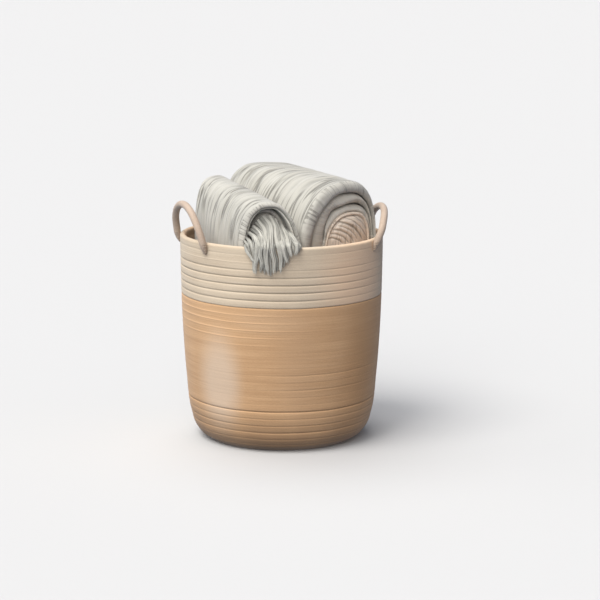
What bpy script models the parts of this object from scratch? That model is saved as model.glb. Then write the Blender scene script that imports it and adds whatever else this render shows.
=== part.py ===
"""A round coiled rope basket with two rope handles, filled with folded towels.

Two grey towels are each folded into a thick pile, bent over like a saddle and pushed into the
basket with both ends down. The wider one is bent over a smaller tan towel. The narrower one
shows its fringe, which spills out of the mouth of the fold and over the rim.

World frame: metres, +Z up, origin on the floor under the centre of the basket, -Y to the front.
"""

import math
from collections import namedtuple

import bmesh
import bpy
import numpy as np
from mathutils import Vector

# Basket sizes
HEIGHT = 0.362
COIL_PITCH = 0.013
BAND_ROWS = 8
WALL = 0.010
ROUND_STEPS = 48
GAP = 0.0003
BAND_RELIEF = 0.0016
BODY_RELIEF = 0.0008
BODY_ROWS_MARKED_TOP = 5
BODY_ROWS_MARKED_FOOT = 6
FLOOR_RADIUS = 0.1235
INNER_TURN = 0.020
INNER_RIM_DOWN = 0.003

# Outer outline of the basket wall, from the floor to the rim
Outline = namedtuple("Outline", "height radius")
WALL_OUTLINE = (
    Outline(height=0.000, radius=0.1285),
    Outline(height=0.006, radius=0.1392),
    Outline(height=0.020, radius=0.1520),
    Outline(height=0.045, radius=0.1606),
    Outline(height=0.110, radius=0.1686),
    Outline(height=0.180, radius=0.1735),
    Outline(height=0.258, radius=0.1765),
    Outline(height=HEIGHT, radius=0.1780),
)
RIM_OUTSIDE = WALL_OUTLINE[-1].radius
RIM_ROUNDING = 0.0012

# Rope handles: the angles of the two roots round the basket, the rise over the rim, how far the
# legs lean out and the top lies in, and how square the loop is (less than 1 is squarer)
Handle = namedtuple("Handle", "name first last rise lean tuck square")
HANDLES = (
    Handle("handle_left", 175.0, 224.0, rise=0.0568, lean=0.003, tuck=0.0090, square=0.80),
    Handle("handle_right", -27.5, 34.0, rise=0.0425, lean=0.008, tuck=0.0135, square=0.52),
)
HANDLE_ROPE = 0.0126
HANDLE_DROP = 0.021
HANDLE_SNUG = 0.0003
HANDLE_TAPER = (0.50, 0.85)
HANDLE_STEPS = 24
HANDLE_SAMPLES = 181
HANDLE_SIDES = 8

# The towels' bent piles run from the front right to the back left of the basket
ALONG = np.array([-0.5, 0.866])
ACROSS = np.array([0.866, 0.5])
CLOTH_GAP = 0.0012
INNER_SHARES = (0.2, 0.5, 0.8)
LEG_FOOT = WALL + GAP
LEG_STATIONS = 4
BEND_STATIONS = 19
LOOSE_INSIDE = 0.0018
OVER_RIM = 0.35

# One end of a pile: its distance along the basket at the left and right flank, the place and
# height of its crown, and how square its left and right shoulders are
End = namedtuple("End", "left right crown_at crown_height left_square right_square")
# A bent pile: its two flanks across the basket, where it starts to bend, and its two ends
Bend = namedtuple("Bend", "left right spring front back")
BACK_TOWEL = Bend(
    left=-0.0335,
    right=0.1460,
    spring=HEIGHT - 0.020,
    front=End(-0.128, -0.084, 0.068, HEIGHT + 0.095, left_square=2.1, right_square=2.7),
    back=End(0.165, 0.085, 0.034, HEIGHT + 0.110, left_square=3.3, right_square=2.4),
)
FRONT_TOWEL = Bend(
    left=-0.1335,
    right=-0.0345,
    spring=HEIGHT - 0.030,
    front=End(-0.088, -0.134, -0.084, HEIGHT + 0.071, left_square=2.7, right_square=2.0),
    back=End(0.088, 0.108, -0.081, HEIGHT + 0.098, left_square=2.9, right_square=2.2),
)

# The folded layers that show at a pile's ends: their thickness at the left flank, the crown and
# the right flank, and how far each stands back from the layer outside it
Layer = namedtuple("Layer", "left crown right front_back rear_back")
BACK_TOWEL_LAYERS = (
    Layer(left=0.026, crown=0.0225, right=0.0042, front_back=0.000, rear_back=0.000),
    Layer(left=0.029, crown=0.0185, right=0.0026, front_back=0.006, rear_back=0.003),
    Layer(left=0.005, crown=0.0140, right=0.0022, front_back=0.011, rear_back=0.006),
)
FRONT_TOWEL_LAYERS = (
    Layer(left=0.012, crown=0.013, right=0.009, front_back=0.000, rear_back=0.000),
)
TAN_TOWEL_LAYERS = (
    Layer(left=0.003, crown=0.008, right=0.011, front_back=0.000, rear_back=0.000),
    Layer(left=0.003, crown=0.008, right=0.013, front_back=0.001, rear_back=0.002),
    Layer(left=0.004, crown=0.010, right=0.015, front_back=0.003, rear_back=0.004),
)
CORE_LAYERS = (
    Layer(left=0.007, crown=0.009, right=0.007, front_back=0.000, rear_back=0.000),
    Layer(left=0.007, crown=0.010, right=0.007, front_back=0.003, rear_back=0.003),
)
GROOVE = 0.008
TAN_SET_BACK = 0.008
CORE_SET_BACK = 0.018
HEAP_BULGE = 0.006
HEAP_LIP = 0.004
END_ROUNDING = 0.005
END_ROUNDING_REACH = 0.12
BACK_TOWEL_SEED = 0.4
FRONT_TOWEL_SEED = 1.7

# Soft creases round a pile: where each lies along it, its depth, and the part of the bend that
# it covers, from 0 at the left foot to 1 at the right foot
Crease = namedtuple("Crease", "along depth start end")
BACK_TOWEL_CREASES = (
    Crease(along=0.13, depth=0.0016, start=0.20, end=0.75),
    Crease(along=0.27, depth=0.0022, start=0.10, end=0.60),
    Crease(along=0.42, depth=0.0014, start=0.25, end=0.90),
    Crease(along=0.56, depth=0.0018, start=0.05, end=0.70),
    Crease(along=0.70, depth=0.0020, start=0.15, end=0.55),
    Crease(along=0.83, depth=0.0015, start=0.30, end=0.95),
)
FRONT_TOWEL_CREASES = (
    Crease(along=0.18, depth=0.0014, start=0.10, end=0.70),
    Crease(along=0.38, depth=0.0018, start=0.05, end=0.55),
    Crease(along=0.60, depth=0.0015, start=0.20, end=0.80),
    Crease(along=0.80, depth=0.0018, start=0.10, end=0.60),
)

# Fringe of the front towel: two rows of flat locks fused into one strip
Row = namedtuple("Row", "count inset lift first_x last_x shortest longest")
FRINGE_ROWS = (
    Row(count=11, inset=0.0205, lift=0.0, first_x=-0.047, last_x=0.019, shortest=0.018, longest=0.046),
    Row(count=12, inset=0.0156, lift=0.0050, first_x=-0.053, last_x=0.025, shortest=0.012, longest=0.043),
)
LOCK_WIDTH = 0.0044
LOCK_THICKNESS = 0.0028
LOCK_CLEAR = 0.0010
LOCK_WAVE = 0.0018
LOCK_TIP = 0.62
LOCK_AHEAD = 0.002
STRIP_OUTER = 0.0136
STRIP_DEPTH = 0.0118
STRIP_THICKNESS = 0.0030
STRIP_BACK = 0.0110
FRINGE_START = 0.16
FRINGE_END = 0.86


def clear_scene():
    for thing in list(bpy.data.objects):
        bpy.data.objects.remove(thing)


def material(name, colour, roughness):
    made = bpy.data.materials.new(name)
    made.use_nodes = True
    shader = made.node_tree.nodes["Principled BSDF"]
    shader.inputs["Base Color"].default_value = (*colour, 1.0)
    shader.inputs["Roughness"].default_value = roughness
    shader.inputs["Metallic"].default_value = 0.0
    return made


def finish_object(name, bm, finish, smooth_angle=math.radians(50)):
    """Turns a bmesh into a named object with its normals out."""
    bmesh.ops.recalc_face_normals(bm, faces=bm.faces)
    mesh = bpy.data.meshes.new(name)
    bm.to_mesh(mesh)
    bm.free()
    mesh.materials.append(finish)
    mesh.shade_smooth()
    mesh.set_sharp_from_angle(angle=smooth_angle)
    thing = bpy.data.objects.new(name, mesh)
    bpy.context.scene.collection.objects.link(thing)
    return thing


def blend(start, end, share):
    return start + (end - start) * share


def ease(share):
    """0 to 1 with a soft start and end."""
    share = min(max(share, 0.0), 1.0)
    return share * share * (3.0 - 2.0 * share)


# The basket


def wall_radius(height):
    """Outer radius of the wall at a height: a smooth curve through the outline's rows."""
    heights = np.array([row.height for row in WALL_OUTLINE])
    radii = np.array([row.radius for row in WALL_OUTLINE])
    slopes = np.gradient(radii, heights)
    k = int(np.clip(np.searchsorted(heights, height) - 1, 0, len(heights) - 2))
    step = heights[k + 1] - heights[k]
    u = (height - heights[k]) / step
    return (
        (2 * u**3 - 3 * u**2 + 1) * radii[k]
        + (u**3 - 2 * u**2 + u) * step * slopes[k]
        + (3 * u**2 - 2 * u**3) * radii[k + 1]
        + (u**3 - u**2) * step * slopes[k + 1]
    )


def wall_samples():
    """Fine samples down the outer outline: distance from the rim, height and radius."""
    heights = np.linspace(HEIGHT, 0.0, 400)
    radii = np.array([wall_radius(h) for h in heights])
    steps = np.hypot(np.diff(heights), np.diff(radii))
    return np.concatenate([[0.0], np.cumsum(steps)]), heights, radii


DOWN, DOWN_HEIGHT, DOWN_RADIUS = wall_samples()
WALL_LENGTH = float(DOWN[-1])
BAND_LENGTH = BAND_ROWS * COIL_PITCH


def wall_point(down, inset=0.0):
    """(radius, height) on the wall, a distance down from the rim and inset from its outside."""
    height = np.interp(down, DOWN, DOWN_HEIGHT)
    radius = np.interp(down, DOWN, DOWN_RADIUS)
    ahead = min(down + 0.002, WALL_LENGTH)
    behind = max(down - 0.002, 0.0)
    along_z = np.interp(ahead, DOWN, DOWN_HEIGHT) - np.interp(behind, DOWN, DOWN_HEIGHT)
    along_r = np.interp(ahead, DOWN, DOWN_RADIUS) - np.interp(behind, DOWN, DOWN_RADIUS)
    length = math.hypot(along_z, along_r)
    return float(radius + along_z / length * inset), float(height - along_r / length * inset)


def inner_outline():
    """(radius, height) points up the inside of the wall, from the floor coil to the rim."""
    downs = [*np.linspace(WALL_LENGTH - INNER_TURN, BAND_LENGTH, 6), INNER_RIM_DOWN]
    return [(FLOOR_RADIUS, WALL), *(wall_point(down, WALL) for down in downs)]


INSIDE = np.array(inner_outline())


def inner_radius(height):
    """Radius of the basket's inside at a height."""
    return float(np.interp(height, INSIDE[:, 1], INSIDE[:, 0]))


def row_relief(row, rows):
    """How deep the groove under a coil row is."""
    if row < BAND_ROWS:
        return BAND_RELIEF
    if row < BAND_ROWS + BODY_ROWS_MARKED_TOP or row >= rows - BODY_ROWS_MARKED_FOOT:
        return BODY_RELIEF
    return 0.0


def coil_profile(first, last, rows):
    """Outer points of the coil rows from first to last: a valley, then the row's crest."""
    points = []
    for row in range(first, last):
        down = row * COIL_PITCH
        relief = row_relief(row, rows)
        plain = relief == 0.0 and row_relief(row - 1, rows) == 0.0
        if plain and row % 3:
            continue
        points.append(wall_point(down, max(relief, row_relief(max(row - 1, 0), rows))))
        if relief:
            points.append(wall_point(down + COIL_PITCH / 2))
    return points


def turned(name, profile, finish):
    """A closed ring or disc: a profile of (radius, height) points spun round the Z axis."""
    bm = bmesh.new()
    verts = [bm.verts.new((radius, 0.0, height)) for radius, height in profile]
    edges = [bm.edges.new((verts[k], verts[(k + 1) % len(verts)])) for k in range(len(verts))]
    bmesh.ops.spin(
        bm,
        geom=verts + edges,
        axis=(0, 0, 1),
        cent=(0, 0, 0),
        angle=math.tau,
        steps=ROUND_STEPS,
        use_merge=True,
    )
    bmesh.ops.remove_doubles(bm, verts=bm.verts, dist=0.00001)
    return finish_object(name, bm, finish)


def build_band(finish):
    """The pale upper band of eight coil rows, with a rounded rim."""
    rows = int(WALL_LENGTH / COIL_PITCH)
    outer = coil_profile(0, BAND_ROWS, rows)[1:]
    rim_outer = (RIM_OUTSIDE - RIM_ROUNDING, HEIGHT)
    rim_inner = (RIM_OUTSIDE - WALL + RIM_ROUNDING, HEIGHT)
    foot = BAND_LENGTH - GAP
    inner = [wall_point(foot, WALL), wall_point(INNER_RIM_DOWN, WALL)]
    profile = [rim_outer, *outer, wall_point(foot, BAND_RELIEF), *inner, rim_inner]
    return turned("basket_band", profile, finish)


def build_body(finish):
    """The tan wall under the band, which turns in to meet the floor coil."""
    rows = int(WALL_LENGTH / COIL_PITCH)
    outer = coil_profile(BAND_ROWS, rows, rows)
    outer[0] = wall_point(BAND_LENGTH, BAND_RELIEF)
    foot = [(WALL_OUTLINE[0].radius, 0.0), (FLOOR_RADIUS, 0.0)]
    return turned("basket_body", outer + foot + inner_outline()[:-1], finish)


def build_floor(finish):
    """The flat coil that closes the basket's foot."""
    bm = bmesh.new()
    bmesh.ops.create_cone(
        bm,
        cap_ends=True,
        segments=ROUND_STEPS,
        radius1=FLOOR_RADIUS - GAP,
        radius2=FLOOR_RADIUS - GAP,
        depth=WALL,
    )
    bmesh.ops.translate(bm, verts=bm.verts, vec=(0, 0, WALL / 2))
    return finish_object("basket_floor", bm, finish)


def handle_route(handle):
    """Even points along a handle's middle, which follows the rim's circle from root to root."""
    first, last = math.radians(handle.first), math.radians(handle.last)
    middle = (first + last) / 2
    out = np.array((math.cos(middle), math.sin(middle)))
    side = np.array((-math.sin(middle), math.cos(middle)))
    stand = RIM_OUTSIDE + HANDLE_ROPE / 2 - HANDLE_SNUG
    half = stand * math.sin((last - first) / 2)
    points = []
    for turn in np.linspace(0.0, math.pi, HANDLE_SAMPLES):
        across = half * math.cos(turn)
        lift = max(math.sin(turn), 0.0) ** handle.square
        lean = handle.lean * ease((lift - 0.15) * 1.9) - handle.tuck * lift**4
        away = math.sqrt(stand**2 - across**2) + lean
        height = HEIGHT - HANDLE_DROP + (handle.rise + HANDLE_DROP) * lift
        points.append((*(out * away - side * across), height))
    return even_line(points, HANDLE_STEPS + 1)


def build_handle(handle, finish):
    """A rope loop outside the rim, with both ends lying down the wall."""
    middle = math.radians((handle.first + handle.last) / 2)
    out = Vector((math.cos(middle), math.sin(middle), 0.0))
    bm = bmesh.new()
    skin(bm, rope_rings(handle_route(handle), HANDLE_ROPE / 2, out))
    return finish_object(handle.name, bm, finish)


def rope_rings(route, radius, out):
    """Round rings along a rope that stands nearly upright, with rounded ends."""
    last = len(route) - 1
    rings = []
    for k, point in enumerate(route):
        along = (route[min(k + 1, last)] - route[max(k - 1, 0)]).normalized()
        wall_out = Vector((point.x, point.y, 0.0)).normalized()
        first_side = (out - along * out.dot(along)).normalized()
        second_side = along.cross(first_side)
        from_end = min(k, last - k)
        small = HANDLE_TAPER[from_end] if from_end < len(HANDLE_TAPER) else 1.0
        ring = []
        for j in range(HANDLE_SIDES):
            turn = math.tau * j / HANDLE_SIDES
            offset = first_side * math.cos(turn) + second_side * math.sin(turn)
            ring.append(point - wall_out * (radius * (1.0 - small)) + offset * (radius * small))
        rings.append(ring)
    return rings


# The folded towels
STATIONS = 2 * LEG_STATIONS + BEND_STATIONS


def bend_point(bend, share, station, inset):
    """(across, height) at a station round the bent pile, a share of the way along it.

    Stations run from the foot of the left leg over the crown to the right foot. The inset is how
    far the point lies under the outer face at the left flank, the crown and the right flank.
    """
    left, right = bend.left + inset[0], bend.right - inset[2]
    if station < LEG_STATIONS:
        return left, blend(LEG_FOOT, bend.spring, station / LEG_STATIONS)
    if station >= LEG_STATIONS + BEND_STATIONS:
        after = station - LEG_STATIONS - BEND_STATIONS + 1
        return right, blend(bend.spring, LEG_FOOT, after / LEG_STATIONS)
    crown_share = blend(bend.front.crown_at, bend.back.crown_at, share) - bend.left
    crown_at = blend(left, right, crown_share / (bend.right - bend.left))
    rise = blend(bend.front.crown_height, bend.back.crown_height, share) - inset[1] - bend.spring
    turn = math.pi * (1 - (station - LEG_STATIONS) / (BEND_STATIONS - 1))
    swing, lift = math.cos(turn), max(math.sin(turn), 0.0)
    if swing < 0:
        square = blend(bend.front.left_square, bend.back.left_square, share)
        across = crown_at - (-swing) ** (2 / square) * (crown_at - left)
    else:
        square = blend(bend.front.right_square, bend.back.right_square, share)
        across = crown_at + swing ** (2 / square) * (right - crown_at)
    return across, bend.spring + lift ** (2 / square) * rise


def crease_depth(creases, share, around):
    """How far the cloth sinks at a share of the length and a share of the way round."""
    sunk = 0.0
    for crease in creases:
        near = math.exp(-(((share - crease.along) / 0.028) ** 2))
        middle = (crease.start + crease.end) / 2
        half = (crease.end - crease.start) / 2
        sunk += crease.depth * near * ease(1.6 - 1.6 * abs(around - middle) / half)
    return sunk


def mouth_wave(around, seed):
    """Small waviness of a pile's end, so that it is not cut along a ruler."""
    return 0.0012 * math.sin(9.0 * around + seed) + 0.0008 * math.sin(17.0 * around + 2 * seed)


def to_world(across, along, height):
    """A point of a pile, kept inside the basket's wall below the rim."""
    flat = ACROSS * across + ALONG * along
    distance = float(np.linalg.norm(flat))
    room = inner_radius(min(height, HEIGHT))
    scale = room / inner_radius(HEIGHT)
    most = room - LOOSE_INSIDE * scale + OVER_RIM * max(height - HEIGHT, 0.0)
    if distance * scale > most:
        scale = most / distance
    return Vector((flat[0] * scale, flat[1] * scale, height))


def pile_point(bend, share, station, inset, front_back=0.0, rear_back=0.0, seed=0.0):
    """World position in a pile: a share of its length, a station round it, an inset under it."""
    around = station / (STATIONS - 1)
    flank = (bend_point(bend, share, station, inset)[0] - bend.left) / (bend.right - bend.left)
    front = blend(bend.front.left, bend.front.right, flank) + mouth_wave(around, seed)
    rear = blend(bend.back.left, bend.back.right, flank) + mouth_wave(around, seed + 2)
    along = blend(front + front_back, rear - rear_back, share)
    at = (along - front) / (rear - front)
    end_round = END_ROUNDING * ease((at - 1 + END_ROUNDING_REACH) / END_ROUNDING_REACH) ** 2
    across, height = bend_point(bend, at, station, inset + end_round)
    return to_world(across, along, height)


def running_insets(layers, start=0.0):
    """The inset of each boundary between layers, from the outside in."""
    insets = [np.full(3, start)]
    for layer in layers:
        insets.append(insets[-1] + np.array([layer.left, layer.crown, layer.right]))
    return insets


def layered_end(layers, insets):
    """Section points down one end of a pile, as (inset, layer, distance back from its lip).

    Each layer has a rounded lip, and there is a groove between two.
    """
    points = []
    for layer, outer, inner in zip(layers, insets[:-1], insets[1:]):
        if len(points):
            points.append((outer, layer, GROOVE))
        reach = min(0.5 * layer.crown + 0.002, 0.010)
        for turn in (-72, -36, 0, 36, 72):
            swing = math.radians(turn)
            across = 0.5 + 0.5 * math.sin(swing)
            points.append((blend(outer, inner, across), layer, reach * (1 - math.cos(swing))))
    return points


def skin(bm, rings):
    """Faces between consecutive closed rings of points, and a cap on the first and the last."""
    rows = [[bm.verts.new(point) for point in ring] for ring in rings]
    for low, high in zip(rows[:-1], rows[1:]):
        for k in range(len(low)):
            after = (k + 1) % len(low)
            bm.faces.new((low[k], low[after], high[after], high[k]))
    caps = [bm.faces.new(rows[0]), bm.faces.new(rows[-1])]
    bmesh.ops.triangulate(bm, faces=caps)


def build_bent_pile(name, bend, layers, creases, finish, seed):
    """A folded pile bent over like a saddle: its own section carried round the bend."""
    insets = running_insets(layers)
    ends = layered_end(layers, insets)
    rings = []
    for station in range(STATIONS):
        around = station / (STATIONS - 1)

        def place(share, inset, front_back=0.0, rear_back=0.0):
            return pile_point(bend, share, station, inset, front_back, rear_back, seed)

        ring = [place(0.0, inset, layer.front_back + back) for inset, layer, back in ends[::-1]]
        for share in outer_shares(creases):
            ring.append(place(share, insets[0] + crease_depth(creases, share, around)))
        ring += [place(1.0, inset, 0.0, layer.rear_back + back) for inset, layer, back in ends]
        ring += [place(share, insets[-1]) for share in (0.9, *reversed(INNER_SHARES))]
        rings.append(ring)
    bm = bmesh.new()
    skin(bm, rings)
    return finish_object(name, bm, finish)


def outer_shares(creases):
    """Where the outer face has section points: at each crease and on both sides of it."""
    shares = []
    for crease in creases:
        shares += [crease.along - 0.045, crease.along]
    return [share for share in shares if share > 0.05] + [0.90, 0.96]


def dome_rings(ring, toward):
    """Smaller loops that close the end of a heap with a soft bulge."""
    centre = sum(ring, Vector()) / len(ring)
    return [
        [centre + (point - centre) * size + toward * rise for point in ring]
        for size, rise in ((0.62, 0.7 * HEAP_BULGE), (0.22, HEAP_BULGE))
    ]


def build_filled_heap(name, bend, outside, layers, set_back, finish, seed):
    """A towel that fills the hollow of a bent pile, folded in thin layers at both ends.

    outside holds the layers of the pile round it, so that it follows their inside.
    """
    insets = running_insets(layers, start=CLOTH_GAP)
    insets = [inset + running_insets(outside)[-1] for inset in insets]
    ends = []
    for layer, outer, inner in zip(layers, insets[:-1], insets[1:]):
        for part, back in ((0.0, HEAP_LIP), (0.3, 0.0), (0.7, 0.0), (1.0, HEAP_LIP)):
            if part or not ends:
                ends.append((blend(outer, inner, part), layer, set_back + back))

    def loop(share, inset, front_back=0.0, rear_back=0.0):
        return [
            pile_point(bend, share, station, inset, front_back, rear_back, seed)
            for station in range(STATIONS)
        ]

    rings = [loop(0.0, inset, layer.front_back + back) for inset, layer, back in ends[::-1]]
    rings += [loop(share, insets[0]) for share in INNER_SHARES]
    rings += [loop(1.0, inset, 0.0, layer.rear_back + back) for inset, layer, back in ends]
    backward = Vector((*ALONG, 0.0))
    front_dome = dome_rings(rings[0], -backward)
    rear_dome = dome_rings(rings[-1], backward)
    bm = bmesh.new()
    skin(bm, front_dome[::-1] + rings + rear_dome)
    return finish_object(name, bm, finish)


# The fringe


def mouth_line(inset, back):
    """The line round the front towel's mouth: inset under the bend, back from the mouth."""
    points = [
        pile_point(FRONT_TOWEL, 0.0, station, np.full(3, inset), front_back=back)
        for station in range(LEG_STATIONS, LEG_STATIONS + BEND_STATIONS)
    ]
    return even_line(points, 61)


def even_line(points, count):
    """Evenly spaced points on the line through the given ones."""
    points = np.array(points)
    run = np.concatenate([[0.0], np.cumsum(np.linalg.norm(np.diff(points, axis=0), axis=1))])
    wanted = np.linspace(0.0, run[-1], count)
    return [Vector([np.interp(at, run, points[:, axis]) for axis in range(3)]) for at in wanted]


def on_line(line, share):
    """The point at a share of an evenly spaced line."""
    place = min(max(share, 0.0), 1.0) * (len(line) - 1)
    low = min(int(place), len(line) - 2)
    return line[low].lerp(line[low + 1], place - low)


def lock_route(row, lines, k):
    """Points down one lock: out of the strip, over the rim and down outside the band."""
    share = k / (row.count - 1)
    root, leave, mouth = [on_line(line, blend(FRINGE_START, FRINGE_END, share)) for line in lines]
    x = blend(row.first_x, row.last_x, share)
    outer = RIM_OUTSIDE + 0.5 * LOCK_THICKNESS + LOCK_CLEAR + row.lift
    over = HEIGHT + 0.5 * LOCK_THICKNESS + LOCK_CLEAR + row.lift
    ragged = 0.5 + 0.5 * math.sin(2.4 * k + row.count)
    length = blend(row.shortest, row.longest, ease(2.4 - 2.4 * share)) * (0.92 + 0.08 * ragged)

    def beside(radius, height, shift=0.0):
        angle = math.asin((x + shift) / RIM_OUTSIDE)
        return Vector((radius * math.sin(angle), -radius * math.cos(angle), height))

    sway = LOCK_WAVE * math.sin(0.5 * k + row.count)
    return [
        root,
        leave,
        mouth,
        beside(inner_radius(HEIGHT) - 0.003 + 0.9 * row.lift, over + 0.0010),
        beside(RIM_OUTSIDE + 0.0006 + 0.6 * row.lift, over),
        beside(outer, HEIGHT - 0.003 + 0.5 * row.lift),
        beside(outer, HEIGHT - 0.35 * length, sway),
        beside(outer, HEIGHT - 0.70 * length, -sway),
        beside(outer, HEIGHT - length, sway),
    ]


def lock_rings(route):
    """Four-sided rings along a lock, flat side to the basket, narrowing at the tip."""
    rings = []
    for k, point in enumerate(route):
        before, after = route[max(k - 1, 0)], route[min(k + 1, len(route) - 1)]
        along = (after - before).normalized()
        out = Vector((point.x, point.y, 0.0)).normalized()
        side = Vector((-out.y, out.x, 0.0))
        side = (side - along * side.dot(along)).normalized()
        face = along.cross(side)
        narrow = LOCK_TIP if k == len(route) - 1 else 1.0
        wide = side * (LOCK_WIDTH / 2 * narrow)
        thick = face * (LOCK_THICKNESS / 2 * narrow)
        corners = (-wide - thick, wide - thick, wide + thick, thick - wide)
        rings.append([point + corner for corner in corners])
    return rings


def build_fringe(finish):
    """The locks, joined into a narrow strip that lies just inside the front towel's mouth."""
    locks = bmesh.new()
    for row in FRINGE_ROWS:
        in_strip = STRIP_BACK + STRIP_THICKNESS / 2
        ahead = -LOCK_AHEAD - 0.7 * row.lift
        lines = [mouth_line(row.inset, back) for back in (in_strip, STRIP_BACK / 2, ahead)]
        for k in range(row.count):
            skin(locks, lock_rings(lock_route(row, lines, k)))
    cutter = finish_object("fringe_locks", locks, finish)
    cutter.hide_render = True
    cutter.display_type = "WIRE"
    corners = ((0, 0), (0, 1), (1, 1), (1, 0))
    edges = [
        mouth_line(STRIP_OUTER + STRIP_DEPTH * inset, STRIP_BACK + STRIP_THICKNESS * back)
        for inset, back in corners
    ]
    strip = bmesh.new()
    shares = np.linspace(FRINGE_START - 0.03, FRINGE_END + 0.03, 22)
    skin(strip, [[on_line(edge, share) for edge in edges] for share in shares])
    thing = finish_object("towel_front_fringe", strip, finish)
    join = thing.modifiers.new("Join the locks", "BOOLEAN")
    join.operation = "UNION"
    join.solver = "EXACT"
    join.use_self = True
    join.object = cutter
    return thing


def main():
    clear_scene()
    pale_rope = material("pale_rope", (0.60, 0.47, 0.35), 0.85)
    tan_rope = material("tan_rope", (0.50, 0.32, 0.18), 0.85)
    handle_rope = material("handle_rope", (0.62, 0.45, 0.33), 0.75)
    grey_cloth = material("grey_cloth", (0.62, 0.61, 0.57), 0.95)
    tan_cloth = material("tan_cloth", (0.58, 0.44, 0.32), 0.95)
    build_band(pale_rope)
    build_body(tan_rope)
    build_floor(tan_rope)
    for handle in HANDLES:
        build_handle(handle, handle_rope)
    build_bent_pile(
        "towel_back",
        BACK_TOWEL,
        BACK_TOWEL_LAYERS,
        BACK_TOWEL_CREASES,
        grey_cloth,
        BACK_TOWEL_SEED,
    )
    build_filled_heap(
        "towel_tan",
        BACK_TOWEL,
        BACK_TOWEL_LAYERS,
        TAN_TOWEL_LAYERS,
        TAN_SET_BACK,
        tan_cloth,
        BACK_TOWEL_SEED,
    )
    build_bent_pile(
        "towel_front",
        FRONT_TOWEL,
        FRONT_TOWEL_LAYERS,
        FRONT_TOWEL_CREASES,
        grey_cloth,
        FRONT_TOWEL_SEED,
    )
    build_filled_heap(
        "towel_front_folds",
        FRONT_TOWEL,
        FRONT_TOWEL_LAYERS,
        CORE_LAYERS,
        CORE_SET_BACK,
        grey_cloth,
        FRONT_TOWEL_SEED,
    )
    build_fringe(grey_cloth)


main()
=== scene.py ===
"""A coiled rope basket of folded towels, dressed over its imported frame.

World frame: metres, +Z up, origin on the floor under the basket's centre, -Y to the front.
"""

import math
from collections import namedtuple

import bmesh
import bpy
import numpy as np
from bpy.props import FloatProperty, FloatVectorProperty, IntProperty, PointerProperty
from bpy.types import Operator, Panel, PropertyGroup
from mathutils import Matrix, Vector


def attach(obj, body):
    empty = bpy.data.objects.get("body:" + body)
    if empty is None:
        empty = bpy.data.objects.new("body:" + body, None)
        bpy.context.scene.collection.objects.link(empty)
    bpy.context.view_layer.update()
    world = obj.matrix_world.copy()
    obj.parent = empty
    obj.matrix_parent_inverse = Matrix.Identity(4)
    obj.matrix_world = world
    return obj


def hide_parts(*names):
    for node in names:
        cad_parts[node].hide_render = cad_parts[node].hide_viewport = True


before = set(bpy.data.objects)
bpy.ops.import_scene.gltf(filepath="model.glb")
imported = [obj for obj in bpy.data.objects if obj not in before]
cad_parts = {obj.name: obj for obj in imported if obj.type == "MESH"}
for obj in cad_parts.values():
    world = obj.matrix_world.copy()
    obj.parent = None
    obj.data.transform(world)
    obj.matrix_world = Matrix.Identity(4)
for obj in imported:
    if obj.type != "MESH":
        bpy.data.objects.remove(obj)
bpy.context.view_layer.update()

bl_info = {
    "name": "Basket of Towels",
    "version": (1, 0, 0),
    "blender": (4, 5, 0),
    "location": "3D View > Sidebar > Basket",
    "description": "Builds a rope basket with folded towels round its packed frame",
    "category": "Object",
}

# The basket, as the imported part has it
HEIGHT = 0.362
COIL_PITCH = 0.013
BAND_ROWS = 8
WALL = 0.010
GAP = 0.0003
FLOOR_RADIUS = 0.1235
INNER_TURN = 0.020
INNER_RIM_DOWN = 0.003
OUTLINE_HEIGHTS = np.array([0.0, 0.006, 0.020, 0.045, 0.110, 0.180, 0.258, HEIGHT])
OUTLINE_RADII = np.array([0.1285, 0.1392, 0.1520, 0.1606, 0.1686, 0.1735, 0.1765, 0.1780])
RIM_OUTSIDE = 0.1780
RIM_MIDDLE = RIM_OUTSIDE - WALL / 2
RIM_CROWN = 0.0042
FOOT_RADII = (0.1280, 0.1266, FLOOR_RADIUS, FLOOR_RADIUS)
FOOT_HEIGHTS = (0.0003, 0.0, 0.0, WALL)
INNER_RELIEF = 0.0012

# Paler and darker patches of the band and the wall, most of them painted light and shade:
# centre, reach, colour and strength
BAND_PATCHES = (
    # Painted warm light on the band's shaded right side
    ((0.140, -0.120, 0.300), (0.130, 0.11, 0.130), (0.86, 0.60, 0.395), 0.80),
)
BODY_PATCHES = (
    # Painted highlight low on the left of the front
    ((-0.105, -0.130, 0.125), (0.050, 0.08, 0.125), (0.68, 0.56, 0.44), 0.55),
    # A paler band across the front
    ((-0.020, -0.170, 0.235), (0.100, 0.06, 0.030), (0.66, 0.46, 0.29), 0.25),
    # Painted shade down the middle of the front
    ((0.030, -0.175, 0.160), (0.055, 0.06, 0.170), (0.50, 0.315, 0.18), 0.40),
    # Painted shade on the right side
    ((0.145, -0.110, 0.130), (0.075, 0.09, 0.200), (0.50, 0.27, 0.115), 0.60),
    # Painted shade over the foot
    ((0.000, 0.000, -0.050), (0.420, 0.42, 0.145), (0.235, 0.135, 0.070), 0.95),
)
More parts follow.
